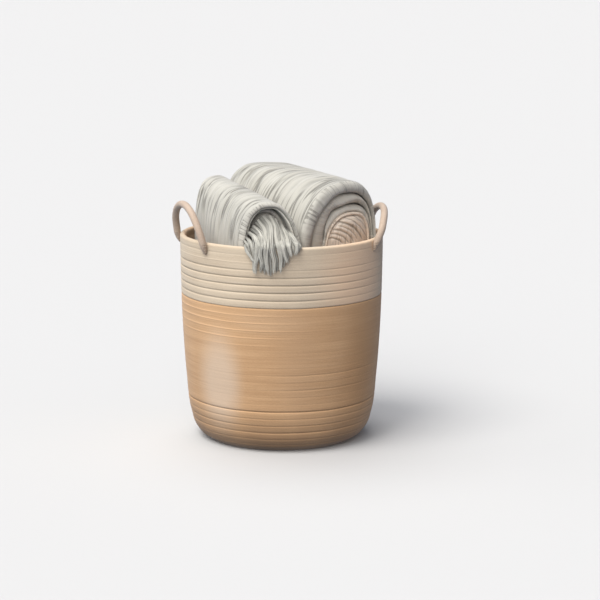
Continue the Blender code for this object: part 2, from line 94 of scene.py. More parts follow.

# The lines between the coil rows: how strongly each shows at these angles from the front, in
# degrees. 1 is a deep groove with painted shade in it and a painted highlight under it, and
# below 0 is a raised line with a painted highlight.
LINE_ANGLES = (-70.0, -40.0, -12.0, 12.0, 40.0, 70.0)
BAND_LINES = (
    (0.00, 0.00, 0.00, 0.00, 0.00, 0.00),
    (0.30, 0.20, 0.10, 0.05, 0.25, 0.15),
    (-0.5, -0.5, -0.6, -0.2, -0.3, 0.10),
    (0.80, 0.85, 0.40, 0.25, 0.35, 0.15),
    (0.95, 0.90, 0.90, 0.60, 0.50, 0.20),
    (0.85, 0.90, 1.00, 0.95, 0.60, 0.20),
    (0.85, 0.85, 1.00, 0.95, 0.55, 0.20),
    (0.70, 0.75, 1.00, 0.85, 0.35, 0.15),
)
BODY_TOP_LINES = (
    (0.70, 0.70, 0.70, 0.70, 0.70, 0.60),
    (-0.9, -0.9, -0.5, -0.1, 0.00, 0.00),
    (-0.9, -0.9, -0.7, -0.2, 0.00, 0.05),
    (-0.8, -0.8, -0.7, -0.2, 0.05, 0.05),
    (-0.5, -0.7, -0.6, -0.1, 0.05, 0.05),
    (-0.2, -0.4, -0.4, 0.00, 0.05, 0.05),
)
BODY_PLAIN_LINE = (0.04, 0.04, 0.04, 0.07, 0.07, 0.05)
BODY_FOOT_LINES = (
    (0.04, 0.05, 0.10, 0.30, 0.28, 0.15),
    (0.04, 0.05, 0.08, 0.14, 0.12, 0.08),
    (0.04, 0.04, 0.08, 0.30, 0.22, 0.10),
    (0.05, 0.05, 0.05, 0.10, 0.10, 0.05),
    (0.05, 0.05, 0.08, 0.15, 0.10, 0.05),
    (0.80, 0.95, 1.00, 0.95, 0.90, 0.70),
    (0.30, 0.40, 0.30, 0.25, 0.35, 0.30),
    (0.50, 0.50, 0.35, 0.40, 0.40, 0.30),
    (0.50, 0.40, 0.60, 0.80, 0.55, 0.30),
    (0.30, 0.30, 0.30, 0.35, 0.30, 0.30),
    (0.30, 0.25, 0.25, 0.30, 0.30, 0.30),
    (0.20, 0.20, 0.20, 0.20, 0.20, 0.20),
)
LINE_WIDTH = 0.0012
ROW_OFFSETS = (0.0, 0.045, 0.09, 0.14, 0.21, 0.34, 0.50, 0.66, 0.79, 0.86, 0.91, 0.955)

# A handle: the angles of its two roots, its rise over the rim, how far its legs lean out and
# its top lies in, and how square the loop is
Handle = namedtuple("Handle", "name first last rise lean tuck square")
HANDLES = (
    Handle("handle_left", 175.0, 224.0, 0.0568, 0.003, 0.0090, 0.80),
    Handle("handle_right", -27.5, 34.0, 0.0425, 0.008, 0.0135, 0.52),
)
HANDLE_ROPE = 0.0126
HANDLE_DROP = 0.021
HANDLE_SNUG = 0.0003
ROOT_TAPER = 0.024
STITCHES = 4
STITCH_START = 0.0035
STITCH_SPACING = 0.0048
STITCH_SPAN = 1.15
STITCH_STEPS = 16
STITCH_THREAD = 0.00055

# The bent piles of towels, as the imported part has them
ALONG = np.array([-0.5, 0.866])
ACROSS = np.array([0.866, 0.5])
CLOTH_GAP = 0.0012
LEG_FOOT = WALL + GAP
LEG_STATIONS = 4
BEND_STEPS = 18
STATION_STEPS = 2 * LEG_STATIONS + BEND_STEPS
LOOSE_INSIDE = 0.0018
OVER_RIM = 0.35
END_ROUNDING = 0.005
END_ROUNDING_REACH = 0.12
GAP_DEPTH = 0.020
HOLLOW_DEPTH = 0.045
LIP_REACH = 0.010
LIP_STEPS = 11
FACE_BACK = 0.006
FRONT_BULGE = 0.011
REAR_BULGE = 0.009
WEAVE = 0.0017

End = namedtuple("End", "left right crown_at crown_height left_square right_square")
Bend = namedtuple("Bend", "left right spring front back seed")
BACK_TOWEL = Bend(
    left=-0.0335,
    right=0.1460,
    spring=HEIGHT - 0.020,
    front=End(-0.128, -0.084, 0.068, HEIGHT + 0.095, 2.1, 2.7),
    back=End(0.165, 0.085, 0.034, HEIGHT + 0.110, 3.3, 2.4),
    seed=0.4,
)
FRONT_TOWEL = Bend(
    left=-0.1335,
    right=-0.0345,
    spring=HEIGHT - 0.030,
    front=End(-0.088, -0.134, -0.084, HEIGHT + 0.071, 2.7, 2.0),
    back=End(0.088, 0.108, -0.081, HEIGHT + 0.098, 2.9, 2.2),
    seed=1.7,
)

# Each folded layer at a pile's ends: its thickness at the left flank, the crown and the right
# flank, the gap inside it, how far it stands back from the mouth at the front and the rear, and
# how much painted shade darkens it and a painted highlight pales its lip
Layer = namedtuple("Layer", "thick gap front rear wrong_side")
BACK_LAYERS = (
    Layer((0.0245, 0.0207, 0.0034), (0.0015, 0.0018, 0.0008), 0.000, 0.000, 0.0),
    Layer((0.0275, 0.0170, 0.0021), (0.0015, 0.0015, 0.0005), 0.007, 0.003, 1.0),
    Layer((0.0050, 0.0140, 0.0022), (0.0, 0.0, 0.0), 0.011, 0.006, 0.55),
)
FRONT_LAYERS = (
    Layer((0.0100, 0.0105, 0.0045), (0.0004, 0.0004, 0.0008), 0.000, 0.000, 0.0),
    Layer((0.0016, 0.0021, 0.0037), (0.0, 0.0, 0.0), 0.004, 0.003, 0.6),
)
TAN_LAYERS = (Layer((0.0035, 0.0050, 0.0060), (0.0003, 0.0003, 0.0003), 0.000, 0.000, 0.0),)
CORE_LAYERS = (
    Layer((0.0065, 0.0085, 0.0065), (0.0005, 0.0005, 0.0005), 0.000, 0.000, 0.0),
    Layer((0.0065, 0.0085, 0.0065), (0.0005, 0.0005, 0.0005), 0.003, 0.003, 0.0),
)
TAN_SET_BACK = 0.008
CORE_SET_BACK = 0.018
TAN_SPINE = (0.085, HEIGHT + 0.020)
CORE_SPINE = (-0.082, HEIGHT + 0.010)

# The camera, whose shift is in shares of the picture's 600 pixels
SENSOR = 36.0
CAMERA_SHIFT = (18.5 / 600, 33.5 / 600)
AIM_HEIGHT = 0.18

# A soft crease round a pile: its place along the pile as a share of its length, how deep and
# how wide it is, and the part of the bend it covers, from 0 at the left foot to 1 at the right
Crease = namedtuple("Crease", "along depth width start end")
BACK_CREASES = (
    Crease(0.055, 0.0011, 0.0030, 0.22, 0.62),
    Crease(0.110, 0.0020, 0.0026, 0.30, 0.60),
    Crease(0.135, 0.0013, 0.0020, 0.34, 0.52),
    Crease(0.185, 0.0022, 0.0030, 0.26, 0.66),
    Crease(0.215, 0.0012, 0.0020, 0.30, 0.50),
    Crease(0.300, 0.0012, 0.0034, 0.22, 0.48),
    Crease(0.390, 0.0010, 0.0030, 0.30, 0.55),
    Crease(0.470, 0.0015, 0.0026, 0.18, 0.60),
    Crease(0.560, 0.0009, 0.0030, 0.34, 0.70),
    Crease(0.660, 0.0020, 0.0026, 0.22, 0.58),
    Crease(0.690, 0.0015, 0.0022, 0.24, 0.50),
    Crease(0.775, 0.0019, 0.0026, 0.20, 0.55),
    Crease(0.800, 0.0012, 0.0020, 0.26, 0.46),
    Crease(0.880, 0.0018, 0.0030, 0.16, 0.60),
    Crease(0.930, 0.0012, 0.0026, 0.24, 0.56),
)
FRONT_CREASES = (
    Crease(0.050, 0.0012, 0.0024, 0.16, 0.60),
    Crease(0.095, 0.0015, 0.0022, 0.22, 0.52),
    Crease(0.140, 0.0011, 0.0022, 0.18, 0.46),
    Crease(0.225, 0.0015, 0.0026, 0.14, 0.50),
    Crease(0.330, 0.0010, 0.0026, 0.20, 0.56),
    Crease(0.440, 0.0014, 0.0024, 0.12, 0.48),
    Crease(0.560, 0.0010, 0.0026, 0.22, 0.62),
    Crease(0.680, 0.0016, 0.0026, 0.12, 0.50),
    Crease(0.740, 0.0012, 0.0022, 0.16, 0.46),
    Crease(0.840, 0.0017, 0.0028, 0.12, 0.54),
    Crease(0.920, 0.0012, 0.0024, 0.18, 0.60),
)


# Plain number helpers


def blend(start, end, share):
    return start + (end - start) * share


def ease(share):
    """0 to 1 with a soft start and end."""
    share = np.clip(share, 0.0, 1.0)
    return share * share * (3.0 - 2.0 * share)


def soft_noise(x, y, seed):
    """Smooth noise from -1 to 1 over two arrays of coordinates."""
    table = np.random.default_rng(seed).uniform(-1.0, 1.0, (64, 64))
    x, y = np.broadcast_arrays(np.asarray(x, float), np.asarray(y, float))
    left, low = np.floor(x).astype(int), np.floor(y).astype(int)
    right_share, high_share = ease(x - left), ease(y - low)
    rows = [
        blend(table[left % 64, at % 64], table[(left + 1) % 64, at % 64], right_share)
        for at in (low, low + 1)
    ]
    return blend(rows[0], rows[1], high_share)


def path_runs(points):
    """The distance from the start of a line to each of its points."""
    return np.concatenate([[0.0], np.cumsum(np.linalg.norm(np.diff(points, axis=0), axis=1))])


def smooth_curve(places, values, at):
    """A smooth curve through values at places, read at other places."""
    slopes = np.gradient(values, places, axis=0)
    k = np.clip(np.searchsorted(places, at, side="right") - 1, 0, len(places) - 2)
    step = places[k + 1] - places[k]
    share = (at - places[k]) / step
    if values.ndim > 1:
        step, share = step[:, None], share[:, None]
    return (
        (2 * share**3 - 3 * share**2 + 1) * values[k]
        + (share**3 - 2 * share**2 + share) * step * slopes[k]
        + (3 * share**2 - 2 * share**3) * values[k + 1]
        + (share**3 - share**2) * step * slopes[k + 1]
    )


def smooth_path(points, steps):
    """A smooth line through points, evenly spaced."""
    points = np.array(points, float)
    run = path_runs(points)
    return smooth_curve(run, points, np.linspace(0.0, run[-1], steps))


def level_outward(path):
    """The level direction from the basket's middle line to each point of a path."""
    flat = path * (1, 1, 0)
    return flat / np.linalg.norm(flat, axis=1, keepdims=True)


# The basket's outline


DOWN_HEIGHT = np.linspace(HEIGHT, 0.0, 400)
DOWN_RADIUS = smooth_curve(OUTLINE_HEIGHTS, OUTLINE_RADII, DOWN_HEIGHT)
DOWN = np.concatenate([[0.0], np.cumsum(np.hypot(np.diff(DOWN_HEIGHT), np.diff(DOWN_RADIUS)))])
WALL_LENGTH = float(DOWN[-1])
BAND_LENGTH = BAND_ROWS * COIL_PITCH
WALL_ROWS = int(WALL_LENGTH / COIL_PITCH)


def wall_point(down, inset=0.0):
    """(radius, height) on the wall, a distance down from the rim and inset from its outside."""
    ahead, behind = np.minimum(down + 0.002, WALL_LENGTH), np.maximum(down - 0.002, 0.0)
    along_z = np.interp(ahead, DOWN, DOWN_HEIGHT) - np.interp(behind, DOWN, DOWN_HEIGHT)
    along_r = np.interp(ahead, DOWN, DOWN_RADIUS) - np.interp(behind, DOWN, DOWN_RADIUS)
    length = np.hypot(along_z, along_r)
    return (
        np.interp(down, DOWN, DOWN_RADIUS) + along_z / length * inset,
        np.interp(down, DOWN, DOWN_HEIGHT) - along_r / length * inset,
    )


def inner_radius(height):
    """Radius of the basket's inside at a height."""
    downs = np.array([*np.linspace(WALL_LENGTH - INNER_TURN, BAND_LENGTH, 6), INNER_RIM_DOWN])
    radii, heights = wall_point(downs, WALL)
    return np.interp(height, [WALL, *heights], [FLOOR_RADIUS, *radii])


def line_table():
    """The strength of every line of the whole wall, one row of angles for each."""
    named = (*BAND_LINES, *BODY_TOP_LINES, *BODY_FOOT_LINES)
    plain = [BODY_PLAIN_LINE] * (WALL_ROWS + 1 - len(named))
    return np.array([*BAND_LINES, *BODY_TOP_LINES, *plain, *BODY_FOOT_LINES])


def nearest_line(down, angle):
    """The strength of the line nearest to each point of the wall, and how far away it is."""
    table = line_table()
    near = np.clip(np.rint(down / COIL_PITCH).astype(int), 0, len(table) - 1)
    usual = 0.55 * table[:, 1:5].mean(axis=1)
    places = (-180.0, -125.0, *LINE_ANGLES, 125.0, 180.0)
    table = np.column_stack([usual, usual, table, usual, usual])
    degrees = np.degrees((angle + 1.5 * math.pi) % math.tau - math.pi)
    strength = np.zeros(len(down))
    for row, strengths in enumerate(table):
        here = near == row
        strength[here] = np.interp(degrees[here], places, strengths)
    return strength, np.abs(down - near * COIL_PITCH)


def row_downs(start, end):
    """Places down the wall from start to end, close together at the lines between the rows."""
    rows = np.arange(int(start / COIL_PITCH) - 1, int(end / COIL_PITCH) + 2)
    places = (rows[:, None] + np.array(ROW_OFFSETS)).ravel() * COIL_PITCH
    inside = places[(places > start + 0.0004) & (places < end - 0.0004)]
    return np.array([start, *inside, end])


# Bent piles of cloth


def bend_points(bend, share, around, inset):
    """(across, height) of points round a bent pile.

    share is the place along the pile, around runs from the left foot to the right one, and
    inset is how far a point lies under the outer face at the left flank, crown and right flank.
    """
    left, right = bend.left + inset[..., 0], bend.right - inset[..., 2]
    station = around * STATION_STEPS
    turn = math.pi * (1 - np.clip((station - LEG_STATIONS) / BEND_STEPS, 0.0, 1.0))
    swing, lift = np.cos(turn), np.maximum(np.sin(turn), 0.0)
    crown_share = blend(bend.front.crown_at, bend.back.crown_at, share) - bend.left
    crown_at = blend(left, right, crown_share / (bend.right - bend.left))
    crown = blend(bend.front.crown_height, bend.back.crown_height, share)
    rise = crown - inset[..., 1] - bend.spring
    left_square = blend(bend.front.left_square, bend.back.left_square, share)
    right_square = blend(bend.front.right_square, bend.back.right_square, share)
    square = np.where(swing < 0, left_square, right_square)
    reach = np.where(swing < 0, crown_at - left, right - crown_at)
    across = crown_at + np.sign(swing) * np.abs(swing) ** (2 / square) * reach
    height = bend.spring + lift ** (2 / square) * rise
    foot = np.minimum(station, STATION_STEPS - station) / LEG_STATIONS
    height = np.where(foot < 1, blend(LEG_FOOT, bend.spring, np.clip(foot, 0.0, 1.0)), height)
    return across, height


def to_world(across, along, height):
    """Points of a pile, kept inside the basket's wall below the rim."""
    flat = ACROSS * across[..., None] + ALONG * along[..., None]
    distance = np.linalg.norm(flat, axis=-1)
    room = inner_radius(np.minimum(height, HEIGHT))
    scale = room / inner_radius(HEIGHT)
    most = room - LOOSE_INSIDE * scale + OVER_RIM * np.maximum(height - HEIGHT, 0.0)
    scale = np.where(distance * scale > most, most / np.maximum(distance, 1e-6), scale)
    return np.concatenate([flat * scale[..., None], height[..., None]], axis=-1)


def mouth_wave(around, seed):
    return 0.0012 * np.sin(9.0 * around + seed) + 0.0008 * np.sin(17.0 * around + 2 * seed)


def mouth_along(bend, share, around, inset):
    """Where the front and the rear mouth lie along the pile at a point's flank."""
    across = bend_points(bend, share, around, inset)[0]
    flank = (across - bend.left) / (bend.right - bend.left)
    front = blend(bend.front.left, bend.front.right, flank) + mouth_wave(around, bend.seed)
    rear = blend(bend.back.left, bend.back.right, flank) + mouth_wave(around, bend.seed + 2)
    return front, rear


def pile_points(bend, share, around, inset, front_back=0.0, rear_back=0.0):
    """World positions in a pile, from places along it, round it and under its outer face."""
    front, rear = mouth_along(bend, share, around, inset)
    along = blend(front + front_back, rear - rear_back, share)
    at = (along - front) / (rear - front)
    end_round = END_ROUNDING * ease((at - 1 + END_ROUNDING_REACH) / END_ROUNDING_REACH) ** 2
    across, height = bend_points(bend, at, around, inset + end_round[..., None])
    return to_world(across, along, height)


def lip_points(layers, start, rear, gap_depth, hollow, lip_steps):
    """Points down one end of a pile, from the outermost lip to the hollow inside it.

    Each is (inset, distance back, lip mark, depth mark, layer shade mark).
    """
    points = []
    outer = np.array(start, float)
    for k, layer in enumerate(layers):
        back = layer.rear if rear else layer.front
        inner = outer + np.array(layer.thick)
        reach = min(0.5 * layer.thick[1] + 0.002, LIP_REACH)
        if k:
            for part in (1.0, 0.66, 0.33):
                deep = blend(reach, gap_depth, part)
                points.append((outer, back + deep, 0.0, part, layer.wrong_side))
        for turn in np.radians(np.linspace(-80, 80, lip_steps)):
            inset = blend(outer, inner, 0.5 + 0.5 * math.sin(turn))
            lip = math.cos(turn)
            points.append((inset, back + reach * (1 - lip), lip, 0.0, layer.wrong_side))
        last = k == len(layers) - 1
        for part in (0.33, 0.66, 1.0):
            deep = blend(reach, hollow if last else gap_depth, part)
            points.append((inner, back + deep, 0.0, part, layer.wrong_side))
        outer = inner + np.array(layer.gap)
    return points


def total_depth(layers):
    """How far the inside of a pile's layers lies under its outer face."""
    return sum((np.array(layer.thick) + np.array(layer.gap) for layer in layers), np.zeros(3))


def pile_section(layers, face_steps):
    """The line that a pile's skin follows: front layers, outer face, rear layers.

    Gives a row for each of share, inset, distance back at the front and at the rear, lip mark,
    depth mark and layer shade mark.
    """
    start = np.zeros(3)
    front = lip_points(layers, start, False, GAP_DEPTH, HOLLOW_DEPTH, LIP_STEPS)
    rear = lip_points(layers, start, True, GAP_DEPTH, HOLLOW_DEPTH, LIP_STEPS)
    shares = blend(0.034, 0.964, np.linspace(0.0, 1.0, face_steps + 2)[1:-1])
    points = [(0.0, inset, back, 0.0, *marks) for inset, back, *marks in front[::-1]]
    points += [(share, start, 0.0, 0.0, 0.0, 0.0, 0.0) for share in shares]
    points += [(1.0, inset, 0.0, back, *marks) for inset, back, *marks in rear]
    return [np.array(column)[None] for column in zip(*points)]


def even_around(leg_steps, bend_steps):
    """Places round a pile: few down the hidden legs, many round the bend."""
    leg = LEG_STATIONS / STATION_STEPS
    low = leg * 0.72
    return np.concatenate(
        [
            np.linspace(0.0, low, leg_steps, endpoint=False),
            np.linspace(low, 1 - low, bend_steps, endpoint=False),
            np.linspace(1 - low, 1.0, leg_steps + 1),
        ]
    )


def grid_normals(points):
    """Unit normals of a grid of points."""
    down = np.gradient(points, axis=0)
    over = np.gradient(points, axis=1)
    normal = np.cross(down, over)
    return normal / np.maximum(np.linalg.norm(normal, axis=-1, keepdims=True), 1e-9)


def grid_lengths(points):
    """Mean distance down the rows and across the columns of a grid of points, in metres."""
    down = np.linalg.norm(np.diff(points, axis=0), axis=-1).mean(axis=1)
    over = np.linalg.norm(np.diff(points, axis=1), axis=-1)
    over = over[len(over) // 4 : -len(over) // 4].mean(axis=0)
    return np.concatenate([[0.0], np.cumsum(down)]), np.concatenate([[0.0], np.cumsum(over)])


def crease_sink(creases, around, along, length, seed):
    """How far the cloth sinks in its creases, over arrays of places round and along a pile."""
    sunk = np.zeros(np.broadcast(around, along).shape)
    for k, crease in enumerate(creases):
        stray = 0.004 * soft_noise(around * 7.0, 3.1 * k, seed)
        stray = stray + 0.0014 * soft_noise(around * 23.0, 1.7 * k, seed + 1)
        near = (along - crease.along * length + stray) / crease.width
        middle, half = (crease.start + crease.end) / 2, (crease.end - crease.start) / 2
        window = ease(1.5 - 1.5 * np.abs(around - middle) / half)
        uneven = 0.75 + 0.35 * soft_noise(around * 16.0, 5.3 * k, seed + 2)
        ridge = 0.35 * np.exp(-((near - 1.9) ** 2)) + 0.25 * np.exp(-((near + 1.9) ** 2))
        sunk += crease.depth * window * uneven * (np.exp(-(near**2)) - ridge)
    return sunk


def fine_creases(count, seed, depth, width):
    """Thin creases at uneven places, of uneven lengths."""
    draw = np.random.default_rng(seed)
    made = []
    for _ in range(count):
        start = draw.uniform(0.12, 0.5)
        made.append(
            Crease(
                along=draw.uniform(0.03, 0.97),
                depth=draw.uniform(0.4, 1.0) * depth,
                width=draw.uniform(0.7, 1.4) * width,
                start=start,
                end=start + draw.uniform(0.12, 0.35),
            )
        )
    return made


# Meshes


def link(name, data):
    """A new object in the scene."""
    thing = bpy.data.objects.new(name, data)
    bpy.context.scene.collection.objects.link(thing)
    return thing


def add_object(name, mesh, look):
    """A finished piece: its object stays at the origin and its place is in its mesh."""
    mesh.materials.append(look)
    mesh.shade_smooth()
    return link(name, mesh)


def to_mesh(name, bm):
    mesh = bpy.data.meshes.new(name)
    bm.to_mesh(mesh)
    bm.free()
    return mesh


def mesh_arrays(mesh):
    """The places of a mesh's vertices, and the vertex at each corner of its faces."""
    places = np.empty(len(mesh.vertices) * 3)
    mesh.vertices.foreach_get("co", places)
    corners = np.empty(len(mesh.loops), int)
    mesh.loops.foreach_get("vertex_index", corners)
    return places.reshape(-1, 3), corners


def reshape(mesh, places, uv):
    """Moves a mesh's vertices and gives it its UV map, which is in metres or turns."""
    mesh.vertices.foreach_set("co", places.ravel())
    mesh.uv_layers.new(name="UVMap").data.foreach_set("uv", uv.ravel())
    mesh.update()


def add_mark(mesh, name, values):
    """Stores a number for each vertex, which a material can read."""
    layer = mesh.attributes.new(name, "FLOAT", "POINT")
    layer.data.foreach_set("value", np.ascontiguousarray(values, np.float32))


def add_cloth(name, points, marks, look):
    """A sheet of cloth, whose vertices are laid at points[row, column], and its flat size.

    Its UV map is in metres, round the pile and across its section.
    """
    rows, columns = points.shape[:2]
    bm = bmesh.new()
    bmesh.ops.create_grid(bm, x_segments=columns - 1, y_segments=rows - 1, size=0.5)
    mesh = to_mesh(name, bm)
    flat, corners = mesh_arrays(mesh)
    column = np.rint((flat[:, 0] + 0.5) * (columns - 1)).astype(int)
    row = np.rint((flat[:, 1] + 0.5) * (rows - 1)).astype(int)
    round_run, section_run = grid_lengths(points)
    uv = np.stack([round_run[row[corners]], section_run[column[corners]]], axis=-1)
    reshape(mesh, points[row, column], uv)
    for mark, values in marks.items():
        add_mark(mesh, mark, np.broadcast_to(values, (rows, columns))[row, column])
    mesh.update()
    if max(mesh.polygons, key=lambda face: face.center.z).normal.z < 0:
        mesh.flip_normals()
    return add_object(name, mesh, look), (float(section_run[-1]), float(round_run[-1]))


def path_frames(path):
    """Tangents and two side directions along a path, turning as little as possible."""
    tangent = np.gradient(path, axis=0)
    tangent /= np.linalg.norm(tangent, axis=1, keepdims=True)
    side = np.cross(tangent[0], (0.3, 0.5, 0.8))
    side /= np.linalg.norm(side)
    sides = []
    for direction in tangent:
        side = side - direction * side.dot(direction)
        side /= np.linalg.norm(side)
        sides.append(side)
    sides = np.array(sides)
    return tangent, sides, np.cross(tangent, sides)


def add_tube(bm, path, radii, sides, shade=None):
    """A closed rope along a path: a grid rolled up, as thick as the radii given at its steps."""
    steps = len(path)
    _, first, second = path_frames(path)
    turn = np.arange(sides + 1) * math.tau / sides
    rings = (
        path[:, None, :]
        + first[:, None, :] * (np.cos(turn)[None, :, None] * radii[:, None, None])
        + second[:, None, :] * (np.sin(turn)[None, :, None] * radii[:, None, None])
    )
    uv_layer = bm.loops.layers.uv.verify()
    shade_layer = bm.verts.layers.float.get("shade") or bm.verts.layers.float.new("shade")
    made = bmesh.ops.create_grid(
        bm, x_segments=sides, y_segments=steps - 1, size=0.5, calc_uvs=True
    )
    run = float(np.linalg.norm(np.diff(path, axis=0), axis=1).sum())
    girth = math.tau * float(np.median(radii))
    for vert in made["verts"]:
        column = round((vert.co.x + 0.5) * sides)
        row = round((vert.co.y + 0.5) * (steps - 1))
        for loop in vert.link_loops:
            loop[uv_layer].uv = (column / sides * girth, row / (steps - 1) * run)
        vert.co = rings[row, column]
        vert[shade_layer] = 0.0 if shade is None else shade[row]


def ropes_mesh(name, bm):
    """Closes the seams and points of the tubes in a bmesh, and turns their faces out."""
    bmesh.ops.remove_doubles(bm, verts=bm.verts, dist=0.000004)
    bmesh.ops.recalc_face_normals(bm, faces=bm.faces)
    return to_mesh(name, bm)


def waver(angle, down, seed):
    """Slight unevenness of hand-laid coil, the same after a whole turn."""
    draw = np.random.default_rng(seed)
    total = np.zeros(np.broadcast(angle, down).shape)
    for turns in (2, 3, 5, 7, 11, 17):
        phase, drift = draw.uniform(0, math.tau), draw.uniform(-60, 60)
        total += np.sin(turns * angle + phase + drift * down) / turns**0.6
    return total / 2.2


def spun_mesh(name, radii, heights, downs, steps, uneven, relief=0.0):
    """A closed ring spun from a profile, with its UV map in turns and in metres down the wall.

    Its outside gets the lines between the coil rows, up to relief deep.
    """
    bm = bmesh.new()
    mark = bm.verts.layers.float.new("down")
    verts = []
    for radius, height, down in zip(radii, heights, downs):
        vert = bm.verts.new((float(radius), 0.0, float(height)))
        vert[mark] = float(down)
        verts.append(vert)
    edges = [bm.edges.new((verts[k - 1], verts[k])) for k in range(len(verts))]
    bmesh.ops.spin(
        bm, geom=verts + edges, axis=(0, 0, 1), cent=(0, 0, 0),
        angle=math.tau, steps=steps, use_merge=True,
    )
    bmesh.ops.remove_doubles(bm, verts=bm.verts, dist=0.00001)
    bmesh.ops.recalc_face_normals(bm, faces=bm.faces)
    mesh = to_mesh(name, bm)
    co, corners = mesh_arrays(mesh)
    down = np.empty(len(co), np.float32)
    mesh.attributes["down"].data.foreach_get("value", down)
    angle = np.arctan2(co[:, 1], co[:, 0])
    radius = np.hypot(co[:, 0], co[:, 1])
    inside = ease((np.interp(down, DOWN, DOWN_RADIUS) - WALL * 0.55 - radius) / 0.002)
    strength, away = nearest_line(down, angle)
    add_mark(mesh, "line", strength)
    add_mark(mesh, "inside", inside * (co[:, 2] > WALL * 1.2))
    groove = np.exp(-((away / LINE_WIDTH) ** 2)) + 0.2 * np.exp(-((away / (3 * LINE_WIDTH)) ** 2))
    out = -relief * np.where(strength > 0, strength, 0.35 * strength) * groove * (1 - inside)
    standing = ease(co[:, 2] / 0.02)
    out += standing * 0.6 * uneven * waver(angle, down * 0.2, 12)
    co[:, 2] += standing * uneven * waver(angle, down, 11)
    co[:, :2] *= (1 + out / radius)[:, None]
    turns = (angle[corners] / math.tau).reshape(-1, 4)
    turns = turns - np.round(turns - turns[:, :1])
    reshape(mesh, co, np.stack([turns.ravel(), down[corners]], axis=-1))
    return mesh


# Materials


class Socket:
    """One output of a shader node, with which sums can be written in plain Python."""

    def __init__(self, look, out):
        self.look, self.out = look, out

    def _math(self, operation, *values, clamp=False):
        settings = {"operation": operation, "use_clamp": clamp}
        return self.look.node("ShaderNodeMath", settings, dict(enumerate(values)))

    def __add__(self, other):
        return self._math("ADD", self, other)

    def __sub__(self, other):
        return self._math("SUBTRACT", self, other)

    def __rsub__(self, other):
        return self._math("SUBTRACT", other, self)

    def __mul__(self, other):
        return self._math("MULTIPLY", self, other)

    def __truediv__(self, other):
        return self._math("DIVIDE", self, other)

    def __abs__(self):
        return self._math("ABSOLUTE", self)

    __radd__ = __add__
    __rmul__ = __mul__

    def sine(self):
        return self._math("SINE", self)

    def part(self):
        """What is left over after the whole number."""
        return self._math("FRACT", self)

    def clamped(self):
        return self._math("ADD", self, 0.0, clamp=True)

    def between(self, low, high):
        """0 below low, 1 above high, and soft between them."""
        settings = {"interpolation_type": "SMOOTHSTEP"}
        return self.look.node("ShaderNodeMapRange", settings, {0: self, 1: low, 2: high})


class Look:
    """A material being made, and the one way to add a node to it."""

    def __init__(self, name):
        self.material = bpy.data.materials.new(name)
        self.material.use_nodes = True
        self.tree = self.material.node_tree
        self.shader = self.tree.nodes["Principled BSDF"]

    def node(self, kind, settings=None, sockets=None, output=0):
        """Adds a node: first its settings, then the values or links of its sockets."""
        made = self.tree.nodes.new(kind)
        for name, value in (settings or {}).items():
            setattr(made, name, value)
        for name, value in (sockets or {}).items():
            self.plug(made.inputs[name], value)
        return Socket(self, made.outputs[output])

    def plug(self, target, value):
        if isinstance(value, Socket):
            self.tree.links.new(value.out, target)
        elif hasattr(value, "__len__") and len(value) == 3 and target.type == "RGBA":
            target.default_value = (*value, 1.0)
        else:
            target.default_value = value

    def place(self):
        return self.node("ShaderNodeTexCoord", output="Object")

    def uv(self):
        """The two numbers of the piece's own UV map."""
        both = self.node("ShaderNodeUVMap", {"uv_map": "UVMap"})
        first = self.node("ShaderNodeSeparateXYZ", None, {0: both})
        return first, Socket(self, first.out.node.outputs[1])

    def mark(self, name):
        """A number that the mesh stores for each vertex."""
        return self.node("ShaderNodeAttribute", {"attribute_name": name}, output="Fac")

    def vector(self, x=0.0, y=0.0, z=0.0):
        return self.node("ShaderNodeCombineXYZ", None, {0: x, 1: y, 2: z})

    def stretched(self, vector, by):
        """A vector with each of its numbers multiplied."""
        return self.node("ShaderNodeVectorMath", {"operation": "MULTIPLY"}, {0: vector, 1: by})

    def noise(self, vector, scale=1.0, detail=2.0, rough=0.5):
        sockets = {"Vector": vector, "Scale": scale, "Detail": detail, "Roughness": rough}
        return self.node("ShaderNodeTexNoise", None, sockets)

    def mix(self, share, first, second, kind="MIX"):
        """Mixes two colours."""
        settings = {"data_type": "RGBA", "blend_type": kind}
        return self.node("ShaderNodeMix", settings, {0: share, 6: first, 7: second}, output=2)

    def finish(self, colour, roughness, height, metres, sheen=0.0, specular=0.35):
        """Sets the surface's colour, gloss and fine relief."""
        inputs = self.shader.inputs
        self.plug(inputs["Base Color"], colour)
        self.plug(inputs["Roughness"], roughness)
        inputs["Sheen Weight"].default_value = sheen
        inputs["Sheen Roughness"].default_value = 0.5
        inputs["Specular IOR Level"].default_value = specular
        sockets = {"Strength": 1.0, "Distance": metres, "Height": height}
        self.plug(inputs["Normal"], self.node("ShaderNodeBump", None, sockets))
        return self.material


def tint(colour, by, most=1.0):
    """A colour made darker or paler, with no part of it over the most."""
    return [min(part * by, most) for part in colour]


